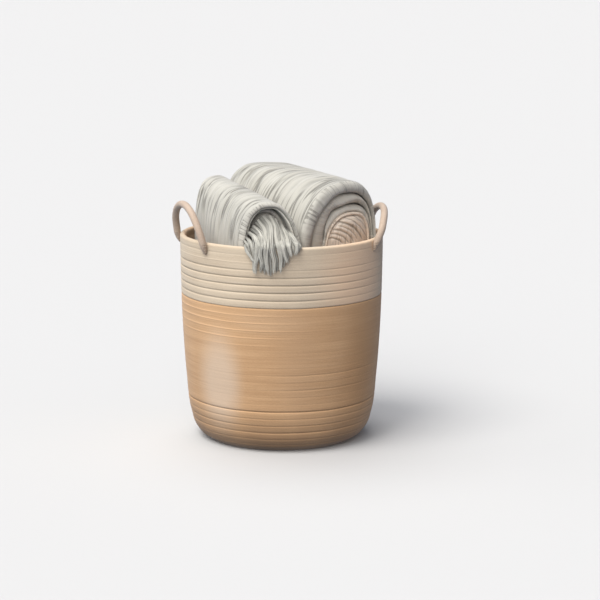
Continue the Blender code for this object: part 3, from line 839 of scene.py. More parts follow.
def rope_look(name, light, dark, inside, patches=()):
    """Sewn cotton rope in coil rows: fine yarns, streaks, row lines with painted shade and
    highlights, and paler and darker patches, most of them painted light and shade.
    """
    look = Look(name)
    _, down = look.uv()
    place = look.place()
    part = (down / COIL_PITCH).part()
    to_line = look.node("ShaderNodeMath", {"operation": "MINIMUM"}, {0: part, 1: 1.0 - part})
    line = look.mark("line")
    groove, raised = line.clamped(), (line * -1.0).clamped()
    yarn = look.noise(look.stretched(place, (260.0, 260.0, 1100.0)), detail=3.0, rough=0.6)
    streak = look.noise(look.stretched(place, (9.0, 9.0, 420.0)), detail=3.0, rough=0.6)
    wide = look.noise(look.stretched(place, (5.0, 5.0, 90.0)), detail=2.0)
    cloud = look.noise(look.stretched(place, (9.0, 9.0, 3.0)), detail=2.0)
    tone = (yarn * 0.22 + streak * 0.36 + wide * 0.22 + cloud * 0.30 - 0.05).clamped()
    colour = look.mix(tone.between(0.30, 0.72), dark, light)
    colour = look.mix(look.mark("inside") * 0.9, colour, inside)
    # Paler and darker patches, most of them painted light and shade
    for centre, reach, patch, strength in patches:
        away = look.node("ShaderNodeVectorMath", {"operation": "SUBTRACT"}, {0: place, 1: centre})
        away = look.stretched(away, [1.0 / r for r in reach])
        length = {"operation": "LENGTH"}
        distance = look.node("ShaderNodeVectorMath", length, {0: away}, output="Value")
        soft = (1.0 - (distance + (cloud - 0.5) * 0.5).between(0.25, 1.0)) * strength
        colour = look.mix(soft, colour, patch)
    # Painted shade: a dark line in each groove. Painted highlights: a pale line under each groove
    # and along each raised line
    core = 1.0 - to_line.between(0.035, 0.105)
    under = part.between(0.06, 0.12) * (1.0 - part.between(0.16, 0.30))
    colour = look.mix(under * groove * 0.25, colour, tint(light, 1.12))
    colour = look.mix(core * groove * 0.60, colour, tint(dark, 0.40))
    colour = look.mix(core * raised * 0.75, colour, tint(light, 1.22))
    height = yarn * 0.45 + streak * 0.40
    return look.finish(colour, yarn * 0.14 + 0.74, height, 0.0005, sheen=0.12, specular=0.25)


def cloth_look(name, light, dark, wrong, slub=1.0, lip_highlight=0.75):
    """Woven cotton: warp and weft, slubs and streaks round the fold, with painted shade in its
    creases, between its layers and on its inner layers, and painted highlights on its lips.
    """
    look = Look(name)
    around, across = look.uv()
    lip = look.mark("lip")

    def grain(round_scale, across_scale, apart=0.0, detail=2.0, rough=0.5):
        """Noise that is stretched round the fold or across the cloth."""
        vector = look.vector(around * round_scale, across * across_scale, apart)
        return look.noise(vector, detail=detail, rough=rough)

    warp = (across * (math.tau / WEAVE)).sine()
    weft = (around * (math.tau / WEAVE)).sine()
    weave = warp * weft * 0.5 + 0.5
    fine = grain(55.0, 1500.0, detail=3.0, rough=0.65)
    drawn = grain(6.0, 120.0, 6.0, rough=0.55)
    pinch = grain(120.0, 9.0, 5.0, detail=1.0)
    fold = abs(drawn - 0.5) * (1.0 - lip) + abs(pinch - 0.5) * (lip * 1.6)
    here = grain(16.0, 14.0, 9.0, detail=1.0).between(0.40, 0.60)
    streak = grain(9.0, 330.0, 4.0, detail=4.0, rough=0.7)
    stripe = grain(3.0, 60.0, 8.0)
    tick = grain(260.0, 16.0, 2.0, rough=0.6)
    cloud = look.noise(look.place(), scale=14.0, detail=2.0)
    lines = streak * (1.0 - lip) + tick * lip
    tone = lines * (0.40 * slub) + stripe * 0.24 + fine * 0.16 + cloud * 0.20 + weave * 0.04
    colour = look.mix((tone - 0.02).clamped().between(0.28, 0.70), dark, light)
    dark_line = (1.0 - lines.between(0.30, 0.42)) * (0.20 * slub)
    colour = look.mix(dark_line, colour, tint(dark, 0.66))
    # Fine creases: bumped in, with painted shade along them
    thin_line = (1.0 - fold.between(0.022, 0.062)) * (here * 0.75 + 0.20)
    colour = look.mix(thin_line * (0.80 * slub), colour, tint(dark, 0.40))
    # Painted light on the lips and on the inner layers back in the mouth: a painted highlight pales
    # every lip a little and the inner layers' lips more, and painted shade darkens the inner layers
    wrong_side = look.mark("wrong")
    pale = lip * ((wrong_side * 1.6 + 0.20).clamped() * lip_highlight)
    colour = look.mix(pale, colour, tint(light, 1.45, 0.95))
    colour = look.mix(wrong_side * 0.8, colour, wrong, "MULTIPLY")
    # Painted shade from the mesh: in the creases and deep between the layers
    shade = look.mark("shade").clamped()
    colour = look.mix(shade, colour, tint(dark, 0.22))
    height = lines * 0.55 + weave * 0.16 + fine * 0.22 - thin_line * 0.5
    return look.finish(colour, 0.86 + fine * 0.10, height, 0.0009, sheen=0.25, specular=0.2)


def yarn_look(name, light, dark):
    """Loose cotton yarn of a fringe, with fibres along it."""
    look = Look(name)
    round_it, along = look.uv()
    place = look.place()
    ply = (round_it * (math.tau / 0.0022) + along * (math.tau / 0.006)).sine() * 0.5 + 0.5
    fibre = look.noise(look.vector(round_it * 2600.0, along * 160.0), detail=2.0)
    cloud = look.noise(place, scale=60.0, detail=2.0)
    tone = (ply * 0.35 + fibre * 0.35 + cloud * 0.40 - 0.05).clamped()
    colour = look.mix(tone.between(0.2, 0.75), dark, light)
    shade = look.mark("shade").clamped()
    colour = look.mix(shade, colour, tint(dark, 0.25))
    height = ply * 0.6 + fibre * 0.4
    return look.finish(colour, fibre * 0.10 + 0.84, height, 0.0004, sheen=0.25, specular=0.2)


def handle_look(name, light, dark):
    """Soft braided cotton rope of a handle."""
    look = Look(name)
    round_it, along = look.uv()
    place = look.place()
    girth = math.pi * HANDLE_ROPE
    turned, run = round_it * (math.tau * 5 / girth), along * (math.tau / 0.011)
    ply = (turned + run).sine() * 0.5 + 0.5
    back = (turned - run).sine() * 0.5 + 0.5
    fibre = look.noise(place, scale=420.0, detail=3.0)
    cloud = look.noise(place, scale=30.0, detail=2.0)
    tone = (ply * back * 0.25 + fibre * 0.45 + cloud * 0.40 - 0.05).clamped()
    colour = look.mix(tone.between(0.2, 0.8), dark, light)
    height = ply * back * 0.5 + fibre * 0.5
    return look.finish(colour, fibre * 0.15 + 0.66, height, 0.0005, sheen=0.12, specular=0.3)


def thread_look(name, colour):
    """Waxed sewing thread."""
    look = Look(name)
    round_it, along = look.uv()
    twist = (round_it * (math.tau / 0.0012) + along * (math.tau / 0.002)).sine() * 0.5 + 0.5
    shown = look.mix(twist, tint(colour, 0.8), colour)
    return look.finish(shown, 0.5 + twist * 0.1, twist, 0.0001)


# Settings


class BasketSettings(PropertyGroup):
    """The rope basket's sizes and colours."""

    ring_steps: IntProperty(
        name="Ring steps", description="Faces round each coil row", default=224, min=48
    )
    relief: FloatProperty(
        name="Coil relief",
        description="Depth of the grooves between the rows of the pale band",
        default=0.0011,
        unit="LENGTH",
    )
    body_relief: FloatProperty(
        name="Wall relief",
        description="Depth of the grooves between the rows of the tan wall",
        default=0.0013,
        unit="LENGTH",
    )
    uneven: FloatProperty(
        name="Unevenness",
        description="How far the hand-laid rows stray",
        default=0.0006,
        unit="LENGTH",
    )
    band_light: FloatVectorProperty(
        name="Band light", description="Pale rope where it faces the light", subtype="COLOR",
        default=(0.69, 0.575, 0.43),
    )
    band_dark: FloatVectorProperty(
        name="Band dark", description="Pale rope's darker yarns", subtype="COLOR",
        default=(0.52, 0.41, 0.29),
    )
    body_light: FloatVectorProperty(
        name="Wall light", description="Tan rope where it faces the light", subtype="COLOR",
        default=(0.66, 0.415, 0.225),
    )
    body_dark: FloatVectorProperty(
        name="Wall dark", description="Tan rope's darker yarns", subtype="COLOR",
        default=(0.48, 0.28, 0.14),
    )
    inside: FloatVectorProperty(
        name="Inside", description="Colour of the rope inside the basket", subtype="COLOR",
        default=(0.60, 0.38, 0.22),
    )
    handle_light: FloatVectorProperty(
        name="Handle light", description="Handle rope where it faces the light", subtype="COLOR",
        default=(0.57, 0.455, 0.36),
    )
    handle_dark: FloatVectorProperty(
        name="Handle dark", description="Handle rope's darker yarns", subtype="COLOR",
        default=(0.42, 0.315, 0.235),
    )


class TowelSettings(PropertyGroup):
    """The towels' sizes and colours."""

    bend_steps: IntProperty(
        name="Bend steps", description="Faces round the bend of a towel", default=250, min=40
    )
    soft_sag: FloatProperty(
        name="Softness",
        description="How far the folded cloth bulges and sinks between its creases",
        default=0.0016,
        unit="LENGTH",
    )
    grey_light: FloatVectorProperty(
        name="Grey light", description="Grey towels' pale threads", subtype="COLOR",
        default=(0.54, 0.52, 0.465),
    )
    grey_dark: FloatVectorProperty(
        name="Grey dark", description="Grey towels' dark threads", subtype="COLOR",
        default=(0.41, 0.39, 0.335),
    )
    # Painted shade that darkens the grey towels' inner layers back in the mouth
    grey_layer_shade: FloatVectorProperty(
        name="Grey layer shade", description="Painted shade on the grey towels' inner layers", subtype="COLOR",
        default=(0.96, 0.95, 0.92),
    )
    tan_light: FloatVectorProperty(
        name="Tan light", description="Tan towel's pale threads", subtype="COLOR",
        default=(0.95, 0.85, 0.73),
    )
    tan_dark: FloatVectorProperty(
        name="Tan dark", description="Tan towel's dark threads", subtype="COLOR",
        default=(0.78, 0.64, 0.50),
    )
    yarns: IntProperty(
        name="Yarns", description="Yarns in each lock of the fringe", default=12, min=3
    )
    yarn_radius: FloatProperty(
        name="Yarn radius", description="Radius of one yarn of the fringe", default=0.00068,
        unit="LENGTH",
    )


class StageSettings(PropertyGroup):
    """The floor, lights and camera."""

    camera_height: FloatProperty(
        name="Camera elevation", description="Angle of the view above the level",
        default=math.radians(11.6), subtype="ANGLE",
    )
    camera_distance: FloatProperty(
        name="Camera distance", description="From the camera to the basket's middle",
        default=3.6, unit="LENGTH",
    )
    lens: FloatProperty(name="Lens", description="Focal length in millimetres", default=121.8)
    key: FloatProperty(name="Key light", description="Strength of the main light", default=2.2)
    left: FloatProperty(
        name="Left light", description="Strength of the soft light from the left", default=1.25
    )
    front: FloatProperty(
        name="Front light", description="Strength of the light in front", default=1.35
    )
    right: FloatProperty(
        name="Right light", description="Strength of the warm light from the right", default=0.42
    )
    top: FloatProperty(
        name="Top light", description="Strength of the light overhead", default=1.1
    )
    sky: FloatProperty(name="Sky", description="Strength of the pale sky", default=0.29)
    floor: FloatVectorProperty(
        name="Floor", description="Colour of the floor", subtype="COLOR",
        default=(0.578, 0.572, 0.562),
    )


# The basket's pieces


def dress(piece, node):
    """Ties a piece to the part's body and hides the solid it stands for."""
    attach(piece, "root")
    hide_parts(node)


def inner_wall(start, end, steps):
    """(downs, radii, heights) of the wall's inside, with the hollows between its rows."""
    downs = np.linspace(start, end, steps)
    rows = 1.0 - np.abs(np.sin(math.pi * downs / COIL_PITCH)) ** 0.7
    return downs, *wall_point(downs, WALL - INNER_RELIEF * rows)


def build_band(basket):
    """The pale upper band: eight coil rows with a rounded rope rim."""
    downs = row_downs(RIM_CROWN, BAND_LENGTH - GAP / 2)
    radii, heights = wall_point(downs)
    turn = np.linspace(0.0, math.pi, 9)[1:-1]
    rim_radii = RIM_MIDDLE + WALL / 2 * np.cos(turn)
    rim_heights = HEIGHT - RIM_CROWN + RIM_CROWN * np.sin(turn)
    inner_downs, inner_radii, inner_heights = inner_wall(RIM_CROWN, BAND_LENGTH - GAP / 2, 60)
    mesh = spun_mesh(
        "band",
        [*radii[::-1], *rim_radii, *inner_radii],
        [*heights[::-1], *rim_heights, *inner_heights],
        [*downs[::-1], *np.full(len(turn), 0.5 * COIL_PITCH), *inner_downs],
        basket.ring_steps, basket.uneven, basket.relief,
    )
    look = rope_look(
        "pale rope", basket.band_light, basket.band_dark, basket.inside, BAND_PATCHES
    )
    dress(add_object("basket_band_coil", mesh, look), "basket_band")


def build_body(basket):
    """The tan wall under the band, nearly smooth, with a few marked rows."""
    downs = row_downs(BAND_LENGTH + GAP / 2, WALL_LENGTH - 0.0015)
    radii, heights = wall_point(downs)
    inner_downs, inner_radii, inner_heights = inner_wall(
        BAND_LENGTH + GAP / 2, WALL_LENGTH - INNER_TURN, 96
    )
    mesh = spun_mesh(
        "body",
        [*radii, *FOOT_RADII, *inner_radii[::-1]],
        [*heights, *FOOT_HEIGHTS, *inner_heights[::-1]],
        [*downs, *[WALL_LENGTH] * len(FOOT_RADII), *inner_downs[::-1]],
        basket.ring_steps, basket.uneven, basket.body_relief,
    )
    look = rope_look(
        "tan rope", basket.body_light, basket.body_dark, basket.inside, BODY_PATCHES
    )
    dress(add_object("basket_body_coil", mesh, look), "basket_body")


def build_floor_coil(basket):
    """The flat coil that closes the basket's foot."""
    out = np.linspace(0.0008, FLOOR_RADIUS - GAP, int(FLOOR_RADIUS / COIL_PITCH) * 8)
    downs = FLOOR_RADIUS - out
    groove = INNER_RELIEF * (1.0 - np.abs(np.sin(math.pi * (downs / COIL_PITCH))) ** 0.6)
    mesh = spun_mesh(
        "floor", [*out, *out[::-1]], [*groove, *(WALL - groove[::-1])], [*downs, *downs[::-1]],
        96, 0.0,
    )
    look = rope_look("floor rope", basket.body_light, basket.body_dark, basket.inside)
    dress(add_object("basket_floor_coil", mesh, look), "basket_floor")


def handle_path(handle, steps):
    """The middle line of a handle, which follows the rim's circle from root to root."""
    first, last = math.radians(handle.first), math.radians(handle.last)
    middle = (first + last) / 2
    out = np.array([math.cos(middle), math.sin(middle), 0.0])
    side = np.array([-math.sin(middle), math.cos(middle), 0.0])
    stand = RIM_OUTSIDE + HANDLE_ROPE / 2 - HANDLE_SNUG
    turn = math.pi * np.linspace(0.0, 1.0, steps)
    across = stand * math.sin((last - first) / 2) * np.cos(turn)
    lift = np.maximum(np.sin(turn), 0.0) ** handle.square
    lean = handle.lean * ease((lift - 0.15) * 1.9) - handle.tuck * lift**4
    away = np.sqrt(stand**2 - across**2) + lean
    flat = out * away[:, None] - side * across[:, None]
    flat[:, 2] = HEIGHT - HANDLE_DROP + (handle.rise + HANDLE_DROP) * lift
    return flat


def stitch_path(centre, out, reach):
    """One stitch over a handle's root, from the wall at one side to the wall at the other."""
    up = np.array([0.0, 0.0, 1.0])
    flat = np.cross(up, out)
    loop = []
    for share in np.linspace(-STITCH_SPAN, STITCH_SPAN, 13):
        lift = math.sqrt(max(1.0 - (share / STITCH_SPAN) ** 2, 0.0)) * (reach + 0.0006)
        beside = flat * share * (reach + 0.0008)
        loop.append(centre + beside + out * (lift - 0.2 * reach) + up * share * 0.0012)
    return smooth_path(loop, STITCH_STEPS)


def build_handles(basket):
    """Both rope handles, each with two tapered roots that are sewn to the band."""
    look = handle_look("handle rope", basket.handle_light, basket.handle_dark)
    thread = thread_look("sewing thread", (0.50, 0.40, 0.30))
    for handle in HANDLES:
        path = smooth_path(handle_path(handle, 181), 120)
        run = path_runs(path)
        from_end = np.minimum(run, run[-1] - run)
        root = np.clip(from_end / ROOT_TAPER, 0.0, 1.0)
        small = 0.04 + 0.96 * np.sin(0.5 * math.pi * root) ** 0.75
        radii = HANDLE_ROPE / 2 * small * 0.985
        wall_out = level_outward(path)
        path = path - wall_out * ((HANDLE_ROPE / 2) * (1 - small))[:, None]
        bm = bmesh.new()
        add_tube(bm, path, radii, 20)
        rope = add_object(handle.name + "_rope", ropes_mesh(handle.name, bm), look)
        dress(rope, handle.name)
        bm = bmesh.new()
        for end in (0, 1):
            for k in range(STITCHES):
                at = int(np.searchsorted(from_end[:50], STITCH_START + STITCH_SPACING * k))
                at = len(path) - 1 - at if end else at
                stitch = stitch_path(path[at], wall_out[at], radii[at])
                add_tube(bm, stitch, np.full(STITCH_STEPS, STITCH_THREAD), 6)
        sewn = ropes_mesh(handle.name + " stitches", bm)
        sewn = add_object(handle.name + "_stitches", sewn, thread)
        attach(sewn, "root")


# The towels


def build_skin(name, bend, layers, creases, towels, look, seed, face_steps):
    """A folded towel's skin: its outer face, the lips of its layers and the grooves between."""
    share, inset, front, rear, lip, depth, wrong = pile_section(layers, face_steps)
    around = even_around(8, towels.bend_steps)[:, None]
    shape = (len(around), share.shape[1])
    layer_at = inset[..., 1]
    wave = 1.0 + 0.10 * soft_noise(around * 11.0, layer_at * 90.0, seed)
    edge_wave = 0.0016 * soft_noise(around * 9.0, layer_at * 120.0, seed + 3)
    front = front + edge_wave * (share == 0)
    rear = rear + edge_wave * (share == 1)
    share = np.broadcast_to(share, shape)
    waved = inset * wave[..., None]
    points = pile_points(bend, share, np.broadcast_to(around, shape), waved, front, rear)
    crown = points[len(around) // 2]
    length = np.linalg.norm(crown[-1] - crown[0])
    along = share * length
    normal = grid_normals(points)
    if normal[len(around) // 2, shape[1] // 2, 2] < 0:
        normal = -normal
    face = (share > 0) & (share < 1)
    fade = ease(np.minimum(share, 1 - share) / 0.03)
    sink = crease_sink(creases, around, along, length, seed)
    fine = fine_creases(34, seed + 7, 0.0007, 0.0014)
    sink += crease_sink(fine, around, along, length, seed + 20)
    soft = 0.6 * soft_noise(around * 6.0, along * 22.0, seed + 4)
    soft = towels.soft_sag * (soft + 0.4 * soft_noise(around * 13.0, along * 60.0, seed + 5))
    standing = ease((points[..., 2] - (HEIGHT - 0.05)) / 0.03)
    ticks = soft_noise(around * 170.0, layer_at * 130.0, seed + 9)
    ticks = 0.0006 * lip * np.minimum(ticks, 0.1)
    move = np.where(face, fade * (soft - sink), ticks) * standing
    points = points + normal * move[..., None]
    shade = np.where(face, ease(sink / 0.0028) * 0.45 * fade, depth * 0.45)
    return add_cloth(name, points, {"shade": shade, "lip": lip, "wrong": wrong}, look)


def crease_lines(places, lines):
    """How far a heap's face sinks at places (across, height), from lines of creases."""
    sunk = np.zeros(places.shape[:-1])
    for points, depth, width in lines:
        points = np.array(points)
        near = np.full(places.shape[:-1], 1e9)
        side = np.zeros(places.shape[:-1])
        reach = np.zeros(places.shape[:-1])
        run = path_runs(points)
        for k, (start, end) in enumerate(zip(points[:-1], points[1:])):
            step = end - start
            share = np.clip(((places - start) @ step) / step.dot(step), 0.0, 1.0)
            away = places - (start + share[..., None] * step)
            distance = np.linalg.norm(away, axis=-1)
            closer = distance < near
            near = np.where(closer, distance, near)
            turned = np.sign(step[0] * away[..., 1] - step[1] * away[..., 0])
            side = np.where(closer, turned, side)
            gone = (run[k] + share * np.linalg.norm(step)) / run[-1]
            reach = np.where(closer, gone, reach)
        window = ease(np.minimum(reach, 1 - reach) * 5.0 + 0.15)
        signed = near * side
        trough = np.exp(-((signed / width) ** 2))
        ridge = 0.45 * np.exp(-(((signed - 2.3 * width) / (1.6 * width)) ** 2))
        sunk += depth * window * (trough - ridge)
    return sunk


def build_heap(name, bend, outside, layers, set_back, look, seed, lines, spine):
    """A towel stuffed inside a bent pile: its faces at both mouths and the skin between them.

    lines are the creases of its front face, and spine is where both faces come together.
    """
    around = even_around(6, 190)
    count = len(around)
    start = total_depth(outside) + CLOTH_GAP
    deepest = np.broadcast_to(start + total_depth(layers), (count, 3))

    def ring(share, inset, front=0.0, rear=0.0):
        inset = np.broadcast_to(inset, (count, 3))
        return pile_points(bend, np.full(count, share), around, inset, front, rear)

    def face(end, share, part):
        """(across, along, height) on a mouth's face, from its edge at 0 to its spine at 1."""
        across, height = bend_points(bend, np.full(count, share), around, deepest)
        across = blend(across, spine[0], part)
        height = blend(height, np.minimum(height, spine[1]), part)
        flank = (across - bend.left) / (bend.right - bend.left)
        return across, blend(end.left, end.right, flank), height

    columns = []
    for part in np.linspace(1.0, 0.0, 46, endpoint=False):
        across, along, height = face(bend.front, 0.0, part)
        along = along + set_back + FACE_BACK - FRONT_BULGE * math.sqrt(1 - (1 - part) ** 2)
        sunk = crease_lines(np.stack([across, height], axis=-1), lines)
        shade = 0.55 * ease((sunk - 0.0002) / 0.0012)
        columns.append((to_world(across, along + sunk, height), 0.0, shade))
    for inset, back, lip, depth, _ in lip_points(layers, start, False, 0.004, 0.003, 7)[::-1]:
        columns.append((ring(0.0, inset, set_back + back), lip, depth * 0.35))
    for share in np.linspace(0.06, 0.94, 24):
        columns.append((ring(share, start), 0.0, 0.0))
    for inset, back, lip, depth, _ in lip_points(layers, start, True, 0.004, 0.003, 7):
        columns.append((ring(1.0, inset, rear=set_back + back), lip, depth * 0.35))
    for part in np.linspace(0.0, 1.0, 14)[1:]:
        across, along, height = face(bend.back, 1.0, part)
        along = along - set_back - FACE_BACK + REAR_BULGE * math.sqrt(1 - (1 - part) ** 2)
        fold = 0.0012 * soft_noise(across * 120.0, height * 60.0, seed + 6)
        columns.append((to_world(across, along + fold, height), 0.0, 0.0))
    points, lips, shades = zip(*columns)
    marks = {
        "shade": np.stack([np.broadcast_to(shade, count) for shade in shades], axis=1),
        "lip": np.array(lips)[None],
        "wrong": np.zeros((1, len(lips))),
    }
    return add_cloth(name, np.stack(points, axis=1), marks, look)


# Creases of the tan towel's face: (across, height) along each, its depth and its width
TAN_LINES = (
    (
        ((0.0865, 0.4021), (0.1047, 0.3981), (0.1231, 0.3846), (0.1373, 0.3672), (0.1449, 0.3531)),
        0.0011, 0.0014,
    ),
    (
        ((0.0739, 0.4002), (0.0945, 0.3950), (0.1158, 0.3801), (0.1325, 0.3624), (0.1427, 0.3501)),
        0.0014, 0.0015,
    ),
    (
        ((0.0700, 0.3980), (0.0905, 0.3920), (0.1112, 0.3780), (0.1270, 0.3617), (0.1370, 0.3500)),
        0.0008, 0.0011,
    ),
    (
        ((0.0650, 0.3959), (0.0866, 0.3890), (0.1067, 0.3758), (0.1215, 0.3609), (0.1309, 0.3498)),
        0.0014, 0.0015,
    ),
    (
        ((0.0543, 0.3900), (0.0759, 0.3830), (0.0922, 0.3752), (0.1051, 0.3628), (0.1154, 0.3505)),
        0.0026, 0.0019,
    ),
    (
        ((0.0508, 0.3823), (0.0669, 0.3787), (0.0832, 0.3709), (0.0949, 0.3612), (0.1034, 0.3484)),
        0.0013, 0.0015,
    ),
    (
        ((0.0420, 0.3762), (0.0598, 0.3735), (0.0760, 0.3660), (0.0869, 0.3569), (0.0925, 0.3470)),
        0.0018, 0.0017,
    ),
    (
        ((0.0349, 0.3692), (0.0509, 0.3679), (0.0671, 0.3612), (0.0780, 0.3513), (0.0816, 0.3456)),
        0.0014, 0.0015,
    ),
    (
        ((0.0314, 0.3610), (0.0438, 0.3617), (0.0582, 0.3561), (0.0672, 0.3486)),
        0.0016, 0.0015,
    ),
)


# The fringe


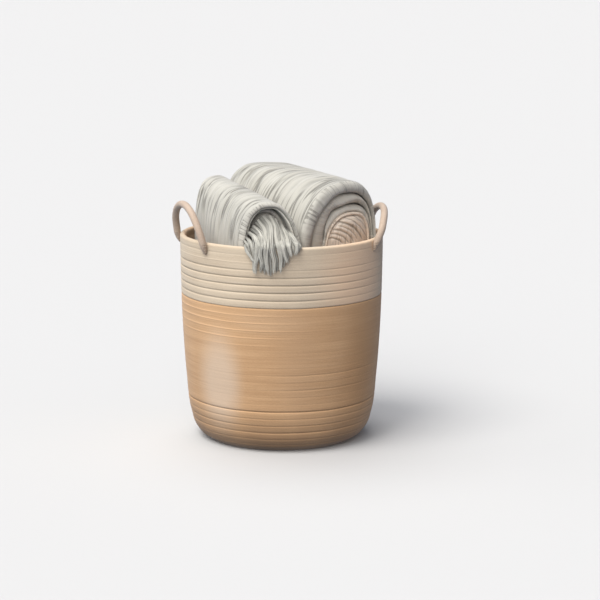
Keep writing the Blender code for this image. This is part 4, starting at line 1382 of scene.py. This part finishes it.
# A lock of the fringe: its width, its painted shade (deeper for the locks that lie behind), and its
# middle line from the fold over the rim and down outside the band, all in millimetres
Lock = namedtuple("Lock", "width shade path")
LOCKS = (
    Lock(4.5, 0.35, ((-65.1, -136.2, 370.3), (-62.9, -142.8, 369.0), (-60.6, -149.5, 367.6),
        (-58.7, -156.1, 366.0), (-57.7, -163.1, 365.4), (-56.9, -170.1, 365.1),
        (-54.6, -172.9, 359.5), (-52.5, -173.6, 352.8), (-50.7, -174.1, 345.9))),
    Lock(5.5, 0.25, ((-61.9, -136.0, 375.3), (-58.5, -142.8, 373.2), (-55.1, -149.6, 371.1),
        (-52.4, -156.5, 368.5), (-50.4, -163.5, 365.4), (-49.8, -171.3, 365.1),
        (-48.0, -174.9, 359.4), (-46.4, -175.3, 351.7), (-45.8, -175.5, 343.9),
        (-46.3, -175.3, 336.0), (-47.2, -175.1, 328.2))),
    Lock(8.5, 0.00, ((-57.1, -135.5, 382.8), (-51.3, -143.6, 380.2), (-46.0, -151.8, 377.3),
        (-42.8, -160.4, 372.7), (-41.6, -169.7, 370.0), (-40.8, -179.3, 367.3),
        (-40.2, -181.5, 357.7), (-41.1, -181.3, 347.5), (-43.6, -180.8, 337.6),
        (-45.3, -180.4, 327.6), (-43.7, -180.7, 317.5))),
    Lock(6.0, 0.30, ((-51.7, -134.9, 388.1), (-45.3, -141.8, 384.6), (-39.4, -148.8, 380.7),
        (-36.2, -156.1, 374.9), (-35.4, -163.3, 368.0), (-35.3, -172.2, 365.4),
        (-36.3, -177.7, 359.5), (-37.6, -177.4, 349.7), (-34.5, -178.0, 340.2),
        (-33.9, -178.2, 330.4), (-35.9, -177.8, 320.6))),
    Lock(7.0, 0.10, ((-48.7, -134.7, 393.1), (-43.2, -142.0, 389.3), (-37.7, -149.4, 385.5),
        (-33.9, -157.1, 380.7), (-32.4, -164.9, 374.6), (-32.4, -173.1, 369.9),
        (-32.7, -181.8, 366.3), (-35.2, -182.6, 356.9), (-34.8, -182.6, 347.1),
        (-32.3, -183.1, 337.6), (-33.6, -182.9, 327.7))),
    Lock(5.0, 0.40, ((-43.7, -134.4, 399.2), (-37.4, -141.5, 393.7), (-31.7, -148.7, 387.7),
        (-29.1, -156.1, 380.2), (-28.8, -163.3, 372.1), (-29.0, -171.3, 365.3),
        (-29.8, -178.9, 360.6), (-30.4, -178.8, 349.7), (-28.3, -179.2, 339.0),
        (-27.9, -179.2, 328.1), (-28.8, -179.1, 317.2))),
    Lock(7.5, 0.05, ((-40.5, -134.2, 403.8), (-34.5, -141.9, 397.4), (-29.1, -149.8, 390.6),
        (-26.5, -157.9, 382.5), (-25.8, -165.9, 373.9), (-25.6, -175.9, 369.8),
        (-25.7, -184.1, 363.0), (-25.9, -184.1, 351.3), (-25.1, -184.2, 339.6),
        (-23.7, -184.4, 328.0), (-21.7, -184.6, 316.4))),
    Lock(5.0, 0.38, ((-35.7, -133.7, 407.3), (-29.5, -141.1, 400.7), (-24.0, -148.7, 393.7),
        (-21.6, -156.5, 385.4), (-21.3, -164.1, 376.5), (-21.4, -171.8, 367.7),
        (-21.8, -180.0, 361.3), (-20.9, -180.1, 349.6), (-18.7, -180.4, 338.1),
        (-17.7, -180.5, 326.5), (-17.4, -180.5, 314.8))),
    Lock(7.5, 0.08, ((-31.6, -133.1, 409.8), (-25.1, -141.2, 403.6), (-19.5, -149.4, 396.9),
        (-17.5, -157.8, 388.6), (-17.4, -166.0, 379.8), (-17.2, -174.3, 371.2),
        (-17.1, -184.3, 365.6), (-15.5, -185.3, 353.9), (-12.6, -185.5, 342.3),
        (-12.4, -185.5, 330.3), (-13.6, -185.5, 318.3))),
    Lock(5.0, 0.40, ((-26.8, -132.9, 411.2), (-20.6, -139.6, 403.8), (-15.3, -146.5, 395.8),
        (-13.7, -153.5, 386.5), (-13.3, -160.4, 376.9), (-12.8, -167.4, 367.4),
        (-12.5, -178.1, 365.2), (-10.9, -181.0, 355.0), (-7.5, -181.2, 343.7),
        (-6.5, -181.3, 332.0), (-7.3, -181.2, 320.3))),
    Lock(7.0, 0.10, ((-20.5, -132.4, 410.4), (-15.8, -140.5, 403.0), (-11.9, -148.7, 395.4),
        (-10.4, -156.9, 387.0), (-9.4, -165.1, 378.4), (-7.0, -173.4, 370.2),
        (-5.4, -184.2, 366.9), (-2.9, -185.9, 355.7), (-1.2, -186.0, 343.9),
        (-1.2, -185.9, 332.0), (-2.3, -185.9, 320.2))),
    Lock(5.0, 0.38, ((-15.5, -131.9, 408.9), (-11.8, -139.0, 401.9), (-8.4, -146.3, 394.9),
        (-6.2, -153.6, 387.4), (-5.2, -160.8, 379.7), (-3.8, -168.1, 372.0),
        (-1.7, -175.8, 365.3), (0.2, -181.4, 358.9), (2.7, -181.3, 348.5), (4.0, -181.3, 338.0),
        (2.1, -181.4, 327.5))),
    Lock(8.0, 0.03, ((-11.3, -131.6, 405.2), (-9.0, -138.8, 398.6), (-6.8, -146.0, 391.9),
        (-4.5, -153.2, 385.3), (-2.0, -160.5, 378.7), (0.3, -167.7, 372.1), (1.2, -176.9, 370.0),
        (2.3, -185.1, 365.4), (4.1, -185.9, 355.6), (6.7, -185.8, 345.9), (9.6, -185.7, 336.2))),
    Lock(5.0, 0.40, ((-6.3, -131.1, 400.5), (-4.3, -137.6, 395.1), (-2.4, -144.1, 389.7),
        (-0.3, -150.7, 384.4), (1.9, -157.2, 379.1), (4.2, -163.8, 373.9), (6.1, -170.4, 368.5),
        (7.2, -177.8, 365.2), (8.4, -181.2, 358.7), (10.1, -181.1, 350.2), (12.1, -181.0, 341.7))),
    Lock(8.0, 0.00, ((-2.7, -130.8, 395.6), (1.0, -139.1, 390.2), (4.7, -147.5, 384.8),
        (7.8, -155.9, 379.1), (9.8, -164.3, 373.1), (10.7, -173.8, 370.0), (11.5, -183.6, 367.3),
        (14.3, -185.4, 357.5), (17.4, -185.1, 347.4))),
    Lock(5.0, 0.38, ((1.7, -130.3, 390.1), (5.6, -137.3, 386.0), (9.5, -144.4, 381.9),
        (13.0, -151.5, 377.5), (15.6, -158.6, 372.7), (17.7, -165.8, 367.6),
        (18.5, -174.0, 365.4), (19.3, -180.3, 361.3), (20.2, -180.2, 352.3))),
    Lock(7.5, 0.10, ((5.8, -130.1, 386.5), (10.1, -138.3, 383.3), (14.4, -146.6, 380.3),
        (18.2, -154.9, 376.9), (21.4, -163.3, 373.0), (23.6, -172.1, 370.0),
        (24.8, -181.4, 368.1), (24.9, -184.2, 359.2), (22.3, -184.6, 349.8))),
    Lock(5.0, 0.45, ((11.6, -129.5, 379.2), (15.1, -136.5, 377.0), (18.7, -143.6, 375.0),
        (22.0, -150.6, 372.7), (24.9, -157.7, 370.0), (27.7, -164.8, 367.0),
        (28.9, -172.5, 365.4), (29.5, -178.9, 362.3), (28.3, -179.1, 354.3))),
    Lock(4.5, 0.55, ((18.7, -128.8, 370.0), (20.8, -135.5, 369.3), (23.0, -142.2, 368.6),
        (25.2, -148.9, 367.9), (27.2, -155.6, 367.1), (29.0, -162.3, 366.1),
        (30.3, -169.2, 365.4), (31.0, -176.2, 365.2), (34.3, -178.0, 360.0))),
    Lock(4.0, 0.00, ((-61.6, -173.4, 367.2), (-60.4, -175.6, 363.9), (-59.0, -176.4, 360.1),
        (-57.2, -177.0, 356.4), (-55.2, -177.6, 352.8), (-53.0, -178.2, 349.3),
        (-50.7, -178.9, 345.8), (-48.3, -179.6, 342.4), (-45.9, -180.2, 339.1))),
)
LOCK_STEPS = 46
LOCK_HALF = 0.00056


def build_fringe(towels, look):
    """The fringe: flat tapered locks of loose yarns that come out of the fold and over the rim."""
    draw = np.random.default_rng(5)
    bm = bmesh.new()
    run = np.linspace(0.0, 1.0, LOCK_STEPS)
    for lock in LOCKS:
        path = smooth_path(0.001 * np.array(lock.path), LOCK_STEPS)
        out = level_outward(path)
        tangent = path_frames(path)[0]
        side = np.stack([-out[:, 1], out[:, 0], np.zeros(LOCK_STEPS)], axis=-1)
        side -= tangent * (side * tangent).sum(axis=1, keepdims=True)
        side /= np.linalg.norm(side, axis=1, keepdims=True)
        face = np.cross(tangent, side)
        face *= np.sign(face[LOCK_STEPS // 2].dot(out[LOCK_STEPS // 2]))
        wide = LOCK_HALF * lock.width * (0.62 + 0.38 * ease(run * 2.5))
        wide = wide * (1.0 - 0.45 * ease((run - 0.55) / 0.45))
        for j in range(towels.yarns):
            place = (j + 0.5) / towels.yarns * 2.0 - 1.0
            drift = 0.16 * np.sin(5.0 * run + draw.uniform(0, math.tau))
            wiggle = 0.0003 * np.sin(11.0 * run + draw.uniform(0, math.tau))
            across = wide * (place + drift) + wiggle
            deep = (0.0007 if j % 2 else -0.0004) + 0.0006 * math.sqrt(1.0 - place**2)
            yarn = path + side * across[:, None] + face * deep
            keep = int(LOCK_STEPS - draw.integers(0, 4))
            radii = towels.yarn_radius * (1.0 - 0.25 * run[:keep])
            radii[0] *= 0.15
            radii[-2:] *= (0.8, 0.15)
            # Painted shade: darker at a lock's edges, at its root inside the fold and on the locks
            # that lie behind, with a little random tone between the yarns
            shade = 0.45 * abs(place) ** 4 + draw.uniform(0.0, 0.12)
            inside = 0.55 * (1.0 - ease(run[:keep] / 0.30))
            shades = np.clip(0.90 * lock.shade + shade + inside, 0.0, 0.9)
            add_tube(bm, yarn[:keep], radii, 5, shades)
    mesh = ropes_mesh("fringe", bm)
    return add_object("towel_front_fringe_yarns", mesh, look)


# The stage


def build_stage(stage):
    """A plain pale floor, soft lights, the strongest from the upper left, a sky and the camera."""
    bm = bmesh.new()
    bmesh.ops.create_grid(bm, x_segments=1, y_segments=1, size=70.0)
    look = Look("pale floor")
    grain = look.noise(look.place(), scale=90.0, detail=3.0)
    colour = look.mix(grain * 0.5, stage.floor, tint(stage.floor, 0.985))
    look = look.finish(colour, 0.9, grain, 0.0001, specular=0.0)
    floor = add_object("floor", to_mesh("floor", bm), look)
    floor.visible_diffuse = False
    bpy.context.scene.view_settings.view_transform = "Standard"
    world = bpy.context.scene.world or bpy.data.worlds.new("sky")
    bpy.context.scene.world = world
    world.use_nodes = True
    sky = world.node_tree.nodes["Background"]
    sky.inputs["Color"].default_value = (0.56, 0.72, 1.0, 1.0)
    sky.inputs["Strength"].default_value = stage.sky
    for name, energy, width, colour, towards in (
        ("key light", stage.key, 34.0, (1.0, 0.98, 0.95), (0.38, 0.36, -0.85)),
        ("left fill", stage.left, 100.0, (1.0, 0.98, 0.95), (0.85, 0.25, -0.45)),
        ("front light", stage.front, 40.0, (1.0, 0.98, 0.95), (0.20, 0.80, -0.56)),
        ("right fill", stage.right, 80.0, (1.0, 0.72, 0.47), (-0.70, 0.66, -0.25)),
        ("top light", stage.top, 40.0, (1.0, 0.98, 0.96), (0.14, -0.38, -0.92)),
    ):
        light = bpy.data.lights.new(name, "SUN")
        light.energy, light.angle, light.color = energy, math.radians(width), colour
        lamp = link(name, light)
        lamp.rotation_euler = Vector(towards).to_track_quat("-Z", "Y").to_euler()
        lamp.location = -2.0 * Vector(towards)
    shot = bpy.data.cameras.new("camera")
    shot.lens = stage.lens
    shot.sensor_width = SENSOR
    shot.shift_x, shot.shift_y = CAMERA_SHIFT
    shot.clip_end = 300.0
    camera = link("camera", shot)
    back = Vector((0.0, -math.cos(stage.camera_height), math.sin(stage.camera_height)))
    camera.location = Vector((0.0, 0.0, AIM_HEIGHT)) + back * stage.camera_distance
    camera.rotation_euler = (-back).to_track_quat("-Z", "Y").to_euler()
    bpy.context.scene.camera = camera


# Operators


class BASKET_OT_wall(Operator):
    """Builds the pale band, the tan wall and the floor coil"""

    bl_idname = "basket.wall"
    bl_label = "Basket Wall"

    def execute(self, context):
        basket = context.scene.towel_basket
        build_band(basket)
        build_body(basket)
        build_floor_coil(basket)
        return {"FINISHED"}


class BASKET_OT_handles(Operator):
    """Builds the two rope handles and their stitches"""

    bl_idname = "basket.handles"
    bl_label = "Handles"

    def execute(self, context):
        build_handles(context.scene.towel_basket)
        return {"FINISHED"}


class BASKET_OT_back_towel(Operator):
    """Builds the wide grey towel, bent over the tan one"""

    bl_idname = "basket.back_towel"
    bl_label = "Wide Grey Towel"

    def execute(self, context):
        towels = context.scene.basket_towels
        look = cloth_look("grey cloth", towels.grey_light, towels.grey_dark, towels.grey_layer_shade)
        towel, flat = build_skin(
            "towel_back_cloth", BACK_TOWEL, BACK_LAYERS, BACK_CREASES, towels, look,
            seed=21, face_steps=150,
        )
        dress(towel, "towel_back")
        return {"FINISHED"}


class BASKET_OT_tan_towel(Operator):
    """Builds the tan towel, stuffed inside the wide grey one"""

    bl_idname = "basket.tan_towel"
    bl_label = "Tan Towel"

    def execute(self, context):
        towels = context.scene.basket_towels
        look = cloth_look(
            "tan cloth", towels.tan_light, towels.tan_dark, (0.9, 0.85, 0.8), slub=0.8, lip_highlight=0.0
        )
        towel, flat = build_heap(
            "towel_tan_cloth", BACK_TOWEL, BACK_LAYERS, TAN_LAYERS, TAN_SET_BACK, look,
            seed=41, lines=TAN_LINES, spine=TAN_SPINE,
        )
        dress(towel, "towel_tan")
        return {"FINISHED"}


class BASKET_OT_front_towel(Operator):
    """Builds the narrow grey towel, its inner folds and its fringe"""

    bl_idname = "basket.front_towel"
    bl_label = "Narrow Grey Towel"

    def execute(self, context):
        towels = context.scene.basket_towels
        look = cloth_look(
            "grey cloth in front", towels.grey_light, towels.grey_dark, towels.grey_layer_shade
        )
        towel, flat = build_skin(
            "towel_front_cloth", FRONT_TOWEL, FRONT_LAYERS, FRONT_CREASES, towels, look,
            seed=61, face_steps=130,
        )
        core, core_flat = build_heap(
            "towel_front_inner_folds", FRONT_TOWEL, FRONT_LAYERS, CORE_LAYERS, CORE_SET_BACK,
            look, seed=81, lines=(), spine=CORE_SPINE,
        )
        yarn = yarn_look("fringe yarn", (0.72, 0.695, 0.615), (0.47, 0.455, 0.395))
        fringe = build_fringe(towels, yarn)
        dress(towel, "towel_front")
        dress(core, "towel_front_folds")
        dress(fringe, "towel_front_fringe")
        return {"FINISHED"}


class BASKET_OT_stage(Operator):
    """Sets the floor, the lights and the camera"""

    bl_idname = "basket.stage"
    bl_label = "Stage"

    def execute(self, context):
        build_stage(context.scene.basket_stage)
        return {"FINISHED"}


OPERATORS = (
    BASKET_OT_stage,
    BASKET_OT_wall,
    BASKET_OT_handles,
    BASKET_OT_tan_towel,
    BASKET_OT_back_towel,
    BASKET_OT_front_towel,
)


class BASKET_PT_panel(Panel):
    """Lists the pieces of the basket of towels"""

    bl_label = "Basket of Towels"
    bl_space_type = "VIEW_3D"
    bl_region_type = "UI"
    bl_category = "Basket"

    def draw(self, context):
        for operator in OPERATORS:
            self.layout.operator(operator.bl_idname)


GROUPS = (
    ("towel_basket", BasketSettings),
    ("basket_towels", TowelSettings),
    ("basket_stage", StageSettings),
)
CLASSES = (*(group for _, group in GROUPS), *OPERATORS, BASKET_PT_panel)


def register():
    for cls in CLASSES:
        bpy.utils.register_class(cls)
    for name, group in GROUPS:
        setattr(bpy.types.Scene, name, PointerProperty(type=group))


def unregister():
    for name, _ in GROUPS:
        delattr(bpy.types.Scene, name)
    for cls in reversed(CLASSES):
        bpy.utils.unregister_class(cls)


def main():
    register()
    bpy.ops.basket.stage()
    bpy.ops.basket.wall()
    bpy.ops.basket.handles()
    bpy.ops.basket.tan_towel()
    bpy.ops.basket.back_towel()
    bpy.ops.basket.front_towel()


if __name__ == "__main__":
    main()
